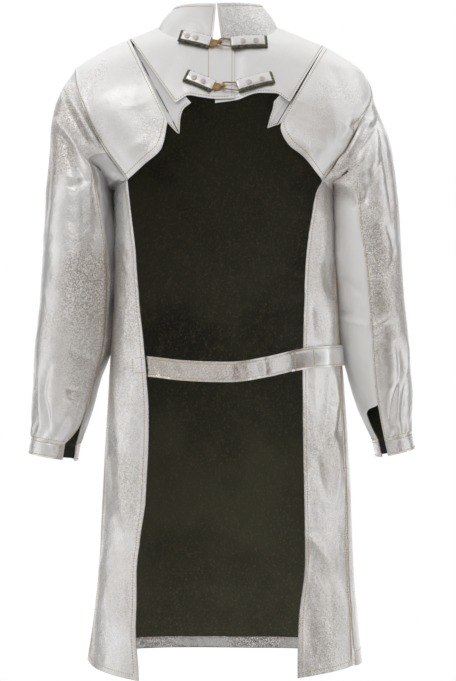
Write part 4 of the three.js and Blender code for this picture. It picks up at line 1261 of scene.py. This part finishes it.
SLEEVE = aluminized(
    "sleeve_cloth", rough=0.23, sparkle=0.5, brown=0.8, crinkle=0.45, brown_places=brown_sheen_to_elbow, glint_places=inner_sleeve_glints,
)


def near_armhole(f):
    """The under sleeve is bunched at its top, with painted glints and painted brown reflection there, and
    smooth below.
    """
    return f.range(f.axis("Z") + 0.04 * f.speckle(25), -0.285, -0.235)


# Lit copy of the under sleeve's film: paler and nearly matt as painted light, with painted glints and brown
# reflection near its top.
RIGHT.under = aluminized(
    "under_sleeve_right_cloth", bright=0.97, rough=0.32, grain=0.8, sparkle=0.6, metallic=0.12, brown=0.5,
    crinkle=0.3, brown_places=near_armhole, glint_places=near_armhole,
)
# Shaded copy of the under sleeve's film: darker (bright 0.66) as painted shade between sleeve and flap.
LEFT.under = aluminized(
    "under_sleeve_left_cloth", bright=0.66, rough=0.24, metallic=0.85, brown=0.4, crinkle=0.6,
)


def armhole_point(side, turn):
    at = np.mod(turn, SLEEVE_TURN.full)
    span = SLEEVE_TURN.armpit - SLEEVE_TURN.corner
    back = on_back(outline(side, side.back_armhole, np.clip(at / SLEEVE_TURN.corner, 0, 1)))
    below = side.flap(np.clip(1 - (at - SLEEVE_TURN.corner) / span, 0, 1), 1 + 0 * at)
    share = (at - SLEEVE_TURN.armpit) / (SLEEVE_TURN.full - SLEEVE_TURN.armpit)
    front = on_front(outline(side, side.front_armhole, np.clip(share, 0, 1)))
    rear = np.where((at <= SLEEVE_TURN.corner)[..., None], back, below)
    return np.where((at <= SLEEVE_TURN.armpit)[..., None], rear, front)


def sleeve_ring(side, row, turn, inset=0.0):
    """A tilted oval of the sleeve; the turn runs from its outer side by the back."""
    angle = np.radians(turn)
    tilt = math.radians(side.sleeve["tilt"][row])
    across = (side.sleeve["across"][row] - inset) * np.cos(angle)
    return np.stack([
        side.sign * (side.sleeve["out"][row] + across * math.cos(tilt)),
        side.sleeve["y"][row] - (side.sleeve["deep"][row] - inset) * np.sin(angle),
        side.sleeve["z"][row] + across * math.sin(tilt),
    ], -1)


def sleeve_sheet(side, upper):
    first = SLEEVE_TURN.front - SLEEVE_TURN.full if upper else SLEEVE_TURN.back
    last = SLEEVE_TURN.back if upper else SLEEVE_TURN.front

    def sheet(u, along):
        opened = (-1 if upper else 1) * read(side.vent, "along", along, "upper" if upper else "under")
        back = read(side.back_seam, "along", along, "turn") + opened
        settled = FRONT_SEAM_TURN - SLEEVE_TURN.full if upper else FRONT_SEAM_TURN
        front = mix(first if upper else last, settled, smooth(0, 0.3, along))
        turn = mix(front, back, u) if upper else mix(back, front, u)
        rings = [armhole_point(side, mix(first, last, u))]
        rings.extend(sleeve_ring(side, row, turn) for row in range(len(side.sleeve["along"])))
        return between(np.append(0, side.sleeve["along"]), np.stack(rings), along)

    return sheet


def gathers(count, high, start):
    """Small pleats that run into a band at the sheet's far end."""
    def rise(s):
        wave = np.sin(2 * math.pi * count * (s.u + 0.02 * np.sin(7 * s.v + 3 * s.u)))
        return high * smooth(start, 0.985, s.v) * wave

    return rise


def armhole_roll(side):
    """The seam's bulk stands up as a roll along the back of the armhole."""
    roll = side.roll

    def rise(s):
        z = s.points[..., 2]
        span = smooth(roll.from_z, roll.from_z - ROLL.fade, z) * smooth(roll.to_z, roll.to_z + ROLL.fade, z)
        seen = smooth(0, ROLL.turned_away, -s.normals[..., 1])
        away = (edge_distance(s, "bottom") - roll.away) / roll.wide
        dip = ROLL.dip * np.exp(-(((away - ROLL.dip_away) / ROLL.dip_wide) ** 2))
        return roll.high * span * seen * (np.exp(-(away ** 4)) - dip)

    return rise


def armpit_slack(side):
    """Spare cloth under the arm, which fills the space towards the body."""
    def rise(s):
        inward = smooth(0.2, 0.8, -side.sign * s.normals[..., 0])
        return inward * read(ARMPIT_SLACK, "v", s.v, "rise")

    return rise


def sleeve_cap(side):
    """The fullness of the sleeve's head, over the shoulder's end."""
    def rise(s):
        outer = smooth(0.2, 0.8, side.sign * s.normals[..., 0])
        return side.cap * outer * smooth(0, 0.05, s.v) * (1 - smooth(0.07, 0.24, s.v))

    return rise


def from_elbow(effect):
    """Lets an effect of a seam begin below the sleeve's head, where the cloth is bunched."""
    return lambda s: effect(s) * smooth(0.1, 0.22, s.v)


def bunched(s):
    """Crisp crumples round the armhole."""
    return crumple(30, 0.7, 54)(s) * smooth(0.05, 0.1, s.v) * (1 - smooth(0.12, 0.34, s.v))


def sleeve_hold(s):
    """Folds lie flat at the armhole and the wrist, and along the seams once these begin."""
    sides = still(("first", "last"), 8)(s)
    return still(("bottom", "top"), 8)(s) * mix(1, sides, smooth(0.1, 0.22, s.v))


def vent_placket(edge):
    """The smooth doubled facing beside the vent."""
    return lambda s: 0.8 * (1 - smooth(22, 25, edge_distance(s, edge))) * smooth(0.8, 0.86, s.v)


for side in SIDES:
    for kind, size in (("upper", UPPER_SIZE), ("under", UNDER_SIZE)):
        upper = kind == "upper"
        sheet = sleeve_sheet(side, upper)
        front_edge, back_edge = ("first", "last") if upper else ("last", "first")
        shape = shaped(
            sheet, side.sign, size,
            [
                creases(side.sleeve_creases, -1),
                swell(48, 2.4, 51, 1.4),
                crumple(30, 0.5, 52),
                crumple(12, 0.3, 53),
                bunched,
                gathers(9 if upper else 4, 1.6, 0.9),
            ],
            [
                armhole_roll(side), armpit_slack(side), sleeve_cap(side), vent_placket(back_edge),
                seam("bottom", 0.7, 0.6), from_elbow(seam(back_edge, 0.8, 0.5)), seam(front_edge),
            ],
            sleeve_hold,
        )
        rows = rows_on(shape, side.sign, size, ("top", 4, 0.02, 0.98))
        if upper:
            rows.extend(rows_on(shape, side.sign, size, ("last", 4, 0.2, 0.985)))
        dress(
            f"{kind}_sleeve_{side.name}", sheet, shape, side.sign, size, SLEEVE_GRIDS[kind],
            SLEEVE if upper else side.under, rows,
        )

# Cuffs and cuff tapes
# Doubled bands that gather the sleeve ends, sewn on along their tops and open at the vent. A black
# fastening tape crosses each opening from inside.
CUFF_CLOTH = 2.0
CUFF_DEEP = 27
CUFF_SEAT = 0.1
CUFF_SIZE = (230, CUFF_DEEP)
TAPE_LAP = 7
TAPE_DEEP = 19
TAPE_CLOTH = 1.4
TAPE_SIZE = (30, TAPE_DEEP)


def cuff_sheet(side, from_turn, to_turn, inset, top, deep):
    tilt = math.radians(side.sleeve["tilt"][-1])
    down = np.array([side.sign * math.sin(tilt), 0, -math.cos(tilt)])

    def sheet(u, v):
        ring = sleeve_ring(side, -1, mix(from_turn, to_turn, u), inset)
        return ring + down * (top + deep * v)[..., None]

    return sheet


def black_tape():
    """Hook-and-loop tape: matt black with a short pile."""
    f = Finish(bpy.data.materials.new("black_tape"))
    pile = f.speckle(1.5, 3.0, 0.7)
    return f.surface({
        "Base Color": f.blend(pile, (0.006, 0.006, 0.006), (0.022, 0.021, 0.020)),
        "Roughness": 0.9,
        "Normal": f.bump(pile, 0.8, 0.7),
    })


TAPE = black_tape()
for side in SIDES:
    vent = side.back_seam["turn"][-1]
    from_vent = side.vent["under"][-1]
    to_vent = side.vent["upper"][-1]
    sheet = cuff_sheet(side, vent + from_vent, vent + SLEEVE_TURN.full - to_vent, 0, CUFF_SEAT, CUFF_DEEP)
    shape = shaped(
        sheet, side.sign, CUFF_SIZE,
        [swell(16, 0.9, 61), crumple(9, 0.35, 62)],
        [hem("top", 4, 0.4, 3), hem("bottom", 4, 0.4, 3)],
        still(("bottom",), 6),
    )
    dress(
        f"cuff_{side.name}", sheet, shape, side.sign, CUFF_SIZE, (150, 18), SATIN,
        rows_on(shape, side.sign, CUFF_SIZE, ("bottom", 3, 0.02, 0.98), ("top", 3, 0.02, 0.98)),
        thick=CUFF_CLOTH,
    )
    first = vent - to_vent - TAPE_LAP
    last = vent + from_vent + TAPE_LAP
    top = CUFF_SEAT + (CUFF_DEEP - TAPE_DEEP) / 2
    sheet = cuff_sheet(side, first, last, CUFF_CLOTH + TUCK_GAP, top, TAPE_DEEP)
    name = f"cuff_tape_{side.name}"
    tape = cloth(f"{name}_pile", sheet, side.sign, TAPE_SIZE, (24, 16), TAPE, TAPE, TAPE_CLOTH)
    fit(tape, sheet, name)

# Collar
# A doubled standing band sewn into the neck seam, leaning in towards its top and slit at the centre
# back, where the clasps draw its two ends together.
COLLAR_CLOTH = 2.0
COLLAR_SEAT = -1.5
COLLAR_BULGE = 3
COLLAR_TOP_HALF = 71
COLLAR_TOP = table(
    "turn z deep",
    (0, 28, 60), (60, 31, 60), (90, 31, 60), (180, -8, 62), (270, 37, 60), (300, 33, 60), (360, 29, 60),
)
COLLAR_SLIT = SimpleNamespace(left_base=5.3, left_top=2.3, right_base=4.1, right_top=-0.9)
COLLAR_SIZE = (470, 62)


def collar_sheet(u, v):
    first = mix(COLLAR_SLIT.left_base, COLLAR_SLIT.left_top, v)
    last = 360 - mix(COLLAR_SLIT.right_base, COLLAR_SLIT.right_top, v)
    turn = mix(first, last, u)
    angle = np.radians(turn)
    s = np.sin(angle)
    c = np.cos(angle)
    seat = np.stack([-NECK_HALF * s, np.where(c > 0, NECK_BACK, -NECK_FRONT) * c], -1)
    base = np.where((c > 0)[..., None], on_back(seat), on_front(seat)) + (0, 0, COLLAR_SEAT)
    deep = read(COLLAR_TOP, "turn", turn, "deep")
    top = np.stack([-COLLAR_TOP_HALF * s, -deep * c, read(COLLAR_TOP, "turn", turn, "z")], -1)
    bulge = np.stack([-s, -c, 0 * s], -1) * (COLLAR_BULGE * np.sin(math.pi * v))[..., None]
    return mix(base, top, v[..., None]) + bulge


def right_half(f):
    """Painted glints on the collar's right half; the left half has none and looks duller."""
    return f.range(f.axis("X"), 0.0, 0.012)


BAND = aluminized(
    "collar_band", bright=0.80, rough=0.24, grain=0.9, sparkle=0.7, metallic=0.82, brown=0.05, crinkle=0.2,
    glint_places=right_half,
)
collar_shape = shaped(
    collar_sheet, -1, COLLAR_SIZE,
    [swell(45, 0.9, 71), crumple(22, 0.4, 72)],
    [hem("top", 5, 0.5, 4), hem("first", 5, 0.5, 3), hem("last", 5, 0.5, 3)],
    still(("bottom",), 10),
)
dress(
    "collar", collar_sheet, collar_shape, -1, COLLAR_SIZE, (240, 30), BAND,
    rows_on(
        collar_shape, -1, COLLAR_SIZE,
        ("top", 4, 0.008, 0.992), ("first", 3, 0.05, 0.93), ("last", 3, 0.05, 0.93),
    ),
    inside=NAVY, thick=COLLAR_CLOTH,
)

# Waist strap and its tab
# A narrow doubled strap, sewn to the left flap, that holds the open back together at the waist. Its free
# end lies under a tab on the right side.
STRAP_CLOTH = 1.6
STRAP_HALF = 16
STRAP = table(
    "turn z lift",
    (-228, -552, -2.8), (-217, -553, -2.8), (-196, -559, -8), (-180, -561, -10), (-164, -553, -5),
    (-149, -543, 3), (-138, -539, 3.4), (-103, -536, 3.4),
)
STRAP_SIZE = (370, 2 * STRAP_HALF)


def strap_brown_sheen(f):
    """Painted brown reflection along the strap's middle, up to where it goes under the tab."""
    return f.range(f.axis("X") + 0.03 * f.speckle(30), 0.085, 0.05)


GLOSSY = aluminized(
    "strap_cloth", bright=0.88, rough=0.12, grain=0.4, metallic=0.94, brown=1.0, crinkle=0.2, brown_places=strap_brown_sheen,
)
WAIST_TAB = SimpleNamespace(start=-152, end=-101, half=16.5, lift=2.6)
WAIST_TAB_SIZE = (110, 2 * WAIST_TAB.half)
STRAP_CREASES = folds(
    (-102, -543, -96, -556, -90, -567, 3, -1.6),
    (-69, -547, -64, -558, -60, -568, 3, -1.6),
    (-4, -553, 4, -562, 6, -572, 5, 1.4),
    (58, -545, 64, -556, 66, -568, 5, -1.4),
    (28, -550, 34, -562, 40, -572, 4, -1.2),
    (20, -542, 24, -560, 22, -580, 13, 3.2),
    (46, -540, 48, -558, 50, -576, 8, -2.6),
    (72, -536, 74, -554, 76, -572, 7, 2.6),
    (171, -516, 171, -538, 171, -560, 14, 4.5),
)


def strap_sheet(start, end, half, extra):
    def on_girth(turn, z):
        return girth(np.radians(-turn), z)

    def sheet(u, v):
        turn = mix(start, end, u)
        z = read(STRAP, "turn", turn, "z") + mix(-half, half, v)
        across = on_girth(turn + 0.5, z) - on_girth(turn - 0.5, z)
        up = on_girth(turn, z + 0.5) - on_girth(turn, z - 0.5)
        lift = read(STRAP, "turn", turn, "lift") + extra
        return on_girth(turn, z) + unit(np.cross(across, up)) * lift[..., None]

    return sheet


strap_plain = strap_sheet(STRAP["turn"][0], STRAP["turn"][-1], STRAP_HALF, 0)
strap_shape = shaped(
    strap_plain, 1, STRAP_SIZE, [creases(STRAP_CREASES, -1), swell(60, 1.0, 81), crumple(16, 0.5, 82)],
    [hem("bottom", 5, 0.4, 4), hem("top", 5, 0.4, 4)], still(("first", "last"), 8),
)
dress(
    "waist_strap", strap_plain, strap_shape, 1, STRAP_SIZE, (260, 20), GLOSSY,
    rows_on(strap_shape, 1, STRAP_SIZE, ("bottom", 4, 0.01, 0.99), ("top", 4, 0.01, 0.99)),
    inside=SATIN, thick=STRAP_CLOTH,
)

tab_plain = strap_sheet(WAIST_TAB.start, WAIST_TAB.end, WAIST_TAB.half, WAIST_TAB.lift)
tab_shape = shaped(
    tab_plain, 1, WAIST_TAB_SIZE, [creases(STRAP_CREASES, -1), swell(26, 0.5, 83)],
    [hem("bottom", 4, 0.4, 3), hem("top", 4, 0.4, 3), hem("first", 4, 0.4, 3)], still(("first", "last"), 6),
)
dress(
    "waist_tab", tab_plain, tab_shape, 1, WAIST_TAB_SIZE, (90, 24), GLOSSY,
    rows_on(
        tab_shape, 1, WAIST_TAB_SIZE,
        ("bottom", 3, 0.03, 0.97), ("top", 3, 0.03, 0.97), ("first", 4, 0.1, 0.9), ("first", 30, 0.1, 0.9),
    ),
    inside=SATIN, thick=STRAP_CLOTH,
)

# Clasp tabs and rivets
# Thick tabs of olive webbing with an aluminized face, riveted twice to collar and yoke. They carry the
# hooks on the left and the wire loops on the right.
TAB = SimpleNamespace(half=10, thick=5.4, slot_from=1, slot_to=4.4, chamfer=2.6, curl=3, end=3.4, face=0.62)
RIVET = SimpleNamespace(head=4.6, foot=4.462, rise=1.3, seat=0.3, sunk=0.4, sides=32, rings=9)
FIBRE = SimpleNamespace(count=700, long=3.0, thick=0.26, low_share=0.75, aim=(0.3, 1, 0.2))
TABS = {
    "upper_left": SimpleNamespace(
        inner=(-12, -79.1, -39), outer=(-61, -69.6, -26), bow=2, tilt=20, rivets={"near": 23, "far": 38},
    ),
    "upper_right": SimpleNamespace(
        inner=(21, -79, -39), outer=(79, -73, -36), bow=2, tilt=20, rivets={"near": 19, "far": 40},
    ),
    "lower_left": SimpleNamespace(
        inner=(-7, -109.1, -113), outer=(-51, -101.1, -94), bow=1, tilt=19, rivets={"near": 17, "far": 33},
    ),
    "lower_right": SimpleNamespace(
        inner=(31, -108.7, -113), outer=(88, -99.2, -97), bow=2, tilt=19, rivets={"near": 19, "far": 41},
    ),
}


def axes_on(inner, outer, lean, bow=0):
    """Directions along, up and out on the back between two points."""
    inner = np.array(inner, float)
    along = np.array(outer, float) - inner
    length = np.linalg.norm(along)
    along = along / length
    up = unit(np.cross(lean, along))
    up = up if up[2] > 0 else -up
    out = unit(np.cross(along, up))
    out = out if out[1] < 0 else -out
    return SimpleNamespace(inner=inner, along=along, up=up, out=out, length=length, bow=bow)


def carried(axes, points):
    """Points measured along, out and up from the inner end of a set of axes, with its arch."""
    s, n, w = np.moveaxis(points, -1, 0)
    share = np.clip(s / axes.length, 0, 1)
    n = n + 4 * axes.bow * share * (1 - share)
    ways = ((s, axes.along), (n, axes.out), (w, axes.up))
    return axes.inner + sum(value[..., None] * way for value, way in ways)


def swept(name, rings, materials, which=None):
    """A closed piece through rings of points, with flat ends."""
    faces = tube_faces(*rings.shape[:2])
    start = rings[0, 0]
    across = rings[0, rings.shape[1] // 2]
    if np.linalg.det(np.stack([rings[1, 0] - start, rings[0, 1] - start, across - start])) > 0:
        faces = [face[::-1] for face in faces]
    if which is not None:
        which = np.append(which.ravel(), [1, 1])
    return new_piece(name, rings, faces, materials, which)


def metal(name, light, dark, rough):
    """Tumbled metal: tarnish in patches and fine scratches."""
    f = Finish(bpy.data.materials.new(name))
    tarnish = f.speckle(3.0, 4.0, 0.65)
    scratch = f.speckle(1.2, 3.0, 0.7, stretch=(1, 1, 6))
    return f.surface({
        "Base Color": f.blend(f.range(tarnish, 0.35, 0.7), light, dark),
        "Metallic": 0.95,
        "Roughness": rough + 0.2 * tarnish,
        "Normal": f.bump(scratch, 0.25, 0.5),
    })


def webbing():
    """Olive cotton webbing, woven and fuzzy."""
    f = Finish(bpy.data.materials.new("olive_webbing"))
    yarn = f.speckle(1.9, 2.0, 0.7)
    return f.surface({
        "Base Color": f.blend(f.range(yarn, 0.36, 0.64), (0.05, 0.048, 0.034), (0.27, 0.255, 0.18)),
        "Roughness": 0.95,
        "Normal": f.bump(yarn, 1.0, 0.8),
    })


WEBBING = webbing()
RIVET_METAL = metal("rivet_metal", (0.70, 0.64, 0.61), (0.52, 0.46, 0.43), 0.36)
random = np.random.default_rng(7)


def tab_ring(s, length):
    """A tab's section at a place along it: a boxy oval whose lower edge slopes back and whose ends close."""
    angle = np.linspace(0, 2 * math.pi, 41)[:-1]
    end = np.clip(np.minimum(s, length - s) / TAB.curl, 0, 1)
    squeeze = 0.6 + 0.4 * np.sqrt(1 - (1 - end) ** 2)
    w = TAB.half * signed_power(np.cos(angle), 0.28)
    n = TAB.thick / 2 * (1 + squeeze * signed_power(np.sin(angle), 0.45))
    slope = TAB.chamfer * smooth(0.35, 1, -w / TAB.half) * (n / TAB.thick)
    return np.stack([s + 0 * w, n - slope, w], -1)


def fibres(length):
    """Loose cotton ends along a tab's edges, each a thin spike on three points."""
    spikes = []
    for _ in range(FIBRE.count):
        s = random.uniform(0, length)
        low = random.uniform(0, 1) < FIBRE.low_share
        w = -TAB.half + random.uniform(-0.2, 1.2) if low else TAB.half - random.uniform(0, 0.6)
        n = random.uniform(0.4, TAB.thick - 1.2)
        way = np.array([random.uniform(-1, 1), random.uniform(-0.6, 0.9), -1.0 if low else 0.7])
        tip = unit(way) * FIBRE.long * random.uniform(0.3, 1)
        aside = unit(np.cross(way, FIBRE.aim)) * FIBRE.thick
        other = unit(np.cross(way, aside)) * FIBRE.thick
        spikes.append(np.array([s, n, w]) + [aside, other - 0.5 * aside, -other - 0.5 * aside, tip])
    return np.array(spikes)


def rivet_rings(s):
    """A domed head at a place along a tab, from its sunk foot to its top."""
    turn = np.arange(RIVET.sides) * 2 * math.pi / RIVET.sides
    dome = np.linspace(math.pi / 2, 0.02, RIVET.rings)
    r = np.append(RIVET.foot, RIVET.head * np.sin(dome))[:, None]
    n = np.append(-RIVET.sunk, RIVET.rise * np.cos(dome))[:, None]
    return np.stack([s + r * np.cos(turn), TAB.thick + RIVET.seat + n + 0 * turn, r * np.sin(turn)], -1)


for name, tab in TABS.items():
    tilt = math.radians(tab.tilt)
    tab.axes = axes_on(tab.inner, tab.outer, (0, -math.cos(tilt), math.sin(tilt)), tab.bow)
    length = tab.axes.length
    curl = np.linspace(0, TAB.curl, 7)
    between_curls = np.linspace(1.5 * TAB.curl, length - 1.5 * TAB.curl, 26)
    stops = np.concatenate([curl, between_curls, length - curl[::-1]])
    flat = np.stack([tab_ring(s, length) for s in stops])
    flat[..., 1] += 0.35 * noise_at(flat, 5, 91)
    ring = flat[len(stops) // 2]
    faced = (ring[:, 1] > TAB.thick * TAB.face) & (ring[:, 2] > -TAB.half * TAB.face)
    which = np.tile(np.where(faced & np.roll(faced, -1), 0, 1), (len(stops) - 1, 1))
    which[stops[1:] > length - TAB.end] = 1
    piece = swept(f"tab_{name}_webbing", carried(tab.axes, flat), [SPARKLING, WEBBING], which)
    stands_for(piece, f"tab_{name}")

    spikes = fibres(length)
    faces = np.arange(len(spikes))[:, None, None] * 4 + [(0, 1, 3), (1, 2, 3), (2, 0, 3), (0, 2, 1)]
    faces = faces.reshape(-1, 3).tolist()
    fuzz = new_piece(f"tab_{name}_fuzz", carried(tab.axes, spikes), faces, [WEBBING])
    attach(fuzz, "root")

    for place, s in tab.rivets.items():
        rivet = swept(f"rivet_{name}_{place}_head", carried(tab.axes, rivet_rings(s)), [RIVET_METAL])
        stands_for(rivet, f"rivet_{name}_{place}")

# Hooks and wire loops
# Each clasp is a flared brass plate, held in the left tab and rolled into a hook, that catches a bent
# bronze wire anchored in the right tab.
HOOK = SimpleNamespace(tongue=6, thick=1.8, curl=15.5, radius=3.05, sides=24)
WIRE = SimpleNamespace(radius=1.0, base_half=8, apex_half=3.6, anchor=5, sides=14, steps=130)
HOOK_WIDTH = table(
    "s half",
    (-6, 5.2), (0.6, 5.2), (0.9, 8.5), (3, 7.2), (6, 5.9), (11, 5.2), (12.2, 3.2), (13.4, 2.3), (30, 2.2),
)
BRASS = metal("brass", (0.50, 0.31, 0.15), (0.27, 0.155, 0.07), 0.24)
BRONZE = metal("bronze_wire", (0.42, 0.31, 0.18), (0.24, 0.17, 0.10), 0.28)


def closed_curve(stops, count):
    """A smooth closed line through its stops."""
    stops = np.array(stops, float)
    t = np.linspace(0, len(stops), count, endpoint=False)
    i = t.astype(int)
    f = (t - i)[:, None]
    p0, p1, p2, p3 = (stops[(i + k) % len(stops)] for k in (-1, 0, 1, 2))
    return 0.5 * (2 * p1 + (p2 - p0) * f + (2 * p0 - 5 * p1 + 4 * p2 - p3) * f ** 2
                  + (3 * p1 - p0 - 3 * p2 + p3) * f ** 3)


for level in ("upper", "lower"):
    left = TABS[f"{level}_left"].axes
    right = TABS[f"{level}_right"].axes
    middle = (TAB.slot_from + TAB.slot_to) / 2
    clasp = axes_on(left.inner + left.out * middle, right.inner + right.out * middle, left.out)
    flat_run = np.linspace(-HOOK.tongue, HOOK.curl, 40)
    bend = np.linspace(-math.pi / 2, 0.8 * math.pi, 30)[1:]
    s = np.concatenate([flat_run, HOOK.curl + HOOK.radius * np.cos(bend)])
    n = np.concatenate([0 * flat_run, HOOK.radius + HOOK.radius * np.sin(bend)])
    run = np.concatenate([flat_run, HOOK.curl + HOOK.radius * (bend + math.pi / 2)])
    half = read(HOOK_WIDTH, "s", run, "half")
    ahead = unit(np.stack([np.gradient(s), np.gradient(n)], -1))
    angle = np.arange(HOOK.sides) * 2 * math.pi / HOOK.sides
    w = half[:, None] * signed_power(np.cos(angle), 0.35)
    off = HOOK.thick / 2 * signed_power(np.sin(angle), 0.5)
    flat = np.stack([s[:, None] - ahead[:, 1:] * off, n[:, None] + ahead[:, :1] * off, w], -1)
    hook = swept(f"hook_{level}_brass", carried(clasp, flat), [BRASS])
    stands_for(hook, f"hook_{level}")

    base = clasp.length + WIRE.anchor
    leg = [
        (HOOK.curl, HOOK.radius, WIRE.apex_half),
        (HOOK.curl + 2.5, HOOK.radius, WIRE.apex_half + 2),
        (clasp.length - 1, 0, WIRE.base_half - 1.2),
        (base - 1.5, 0, WIRE.base_half),
        (base, 0, WIRE.base_half - 2),
    ]
    line = closed_curve(leg + [(a, b, -c) for a, b, c in leg[::-1]], WIRE.steps)
    ahead = unit(np.roll(line, -1, 0) - np.roll(line, 1, 0))
    aside = unit(np.cross(ahead, (0, 1, 0.001)))
    tube = line[:, None] + WIRE.radius * circle_ways(aside, np.cross(ahead, aside), WIRE.sides)
    faces = [face[::-1] for face in tube_faces(WIRE.steps, WIRE.sides, closed=True)]
    loop = new_piece(f"loop_{level}_wire", carried(clasp, tube), faces, [BRONZE])
    stands_for(loop, f"loop_{level}")

# Studio
# A white sweep all round with a dim warm room behind the camera, which the cloth mirrors, and a pale
# floor where the wearer's feet would be.
CAMERA_AT = (16.4, -2750, -512)
FOCAL_LENGTH = 88.65
FLOOR = SimpleNamespace(z=-1450, radius=1400, sides=96)
WHITE = (1, 1, 1)
CEILING = (0.70, 0.695, 0.69)
DIM_ROOM = (0.22, 0.19, 0.165)
GREY_FLAG = (0.22, 0.218, 0.22)


def pale_floor():
    f = Finish(bpy.data.materials.new("pale_floor"))
    return f.surface({
        "Base Color": f.blend(f.speckle(40), (0.80, 0.80, 0.79), (0.84, 0.84, 0.83)),
        "Roughness": 0.7,
    })


rim = np.arange(FLOOR.sides) * 2 * math.pi / FLOOR.sides
disc = np.stack([FLOOR.radius * np.cos(rim), FLOOR.radius * np.sin(rim), 0 * rim + FLOOR.z], 1)
floor = new_piece("floor", disc, [tuple(range(FLOOR.sides))], [pale_floor()])
floor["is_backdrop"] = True

world = bpy.data.worlds.new("studio")
bpy.context.scene.world = world
sky = Finish(world)
aside, behind, height = (sky.axis(letter, "Generated") for letter in "XYZ")
rear = sky.range(behind, 0.05, -0.45)
turned = sky.range(behind, -0.40, -0.70) * sky.range(behind, -0.99, -0.88)
room = turned * sky.range(height, 0.6, 0.25) * (0.35 + 0.65 * sky.range(aside, -0.3, 0.35))
flags = sky.range(behind, 0.15, 0.4) * sky.range(behind, 0.85, 0.62) * sky.range(height, 0.6, 0.35)


def backdrop(colour):
    return sky.node("ShaderNodeBackground", {}, {"Color": colour, "Strength": 1.0})


around = backdrop(WHITE)
for share, colour in ((rear, CEILING), (room, DIM_ROOM), (flags, GREY_FLAG)):
    around = sky.node("ShaderNodeMixShader", {}, {0: share, 1: around, 2: backdrop(colour)})
sky.node("ShaderNodeOutputWorld", {}, {"Surface": around})


def softbox(name, at, aim, wide, tall, power):
    light = bpy.data.lights.new(name, "AREA")
    light.shape = "RECTANGLE"
    light.size = wide * MM
    light.size_y = tall * MM
    light.energy = power
    lamp = bpy.data.objects.new(name, light)
    lamp.location = np.array(at) * MM
    lamp.rotation_mode = "QUATERNION"
    lamp.rotation_quaternion = Vector(np.array(aim) - np.array(at)).to_track_quat("-Z", "Y")
    bpy.context.scene.collection.objects.link(lamp)


softbox("key", (-1500, -2300, 1300), (0, 0, -350), 1400, 1400, 7)
softbox("fill", (1900, -2100, 600), (0, 0, -500), 1200, 1600, 3)

camera = bpy.data.cameras.new("camera")
camera.lens = FOCAL_LENGTH
view = bpy.data.objects.new("camera", camera)
view.location = np.array(CAMERA_AT) * MM
view.rotation_euler = (math.pi / 2, 0, 0)
bpy.context.scene.collection.objects.link(view)
bpy.context.scene.camera = view
bpy.context.scene.view_settings.view_transform = "Standard"

low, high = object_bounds()
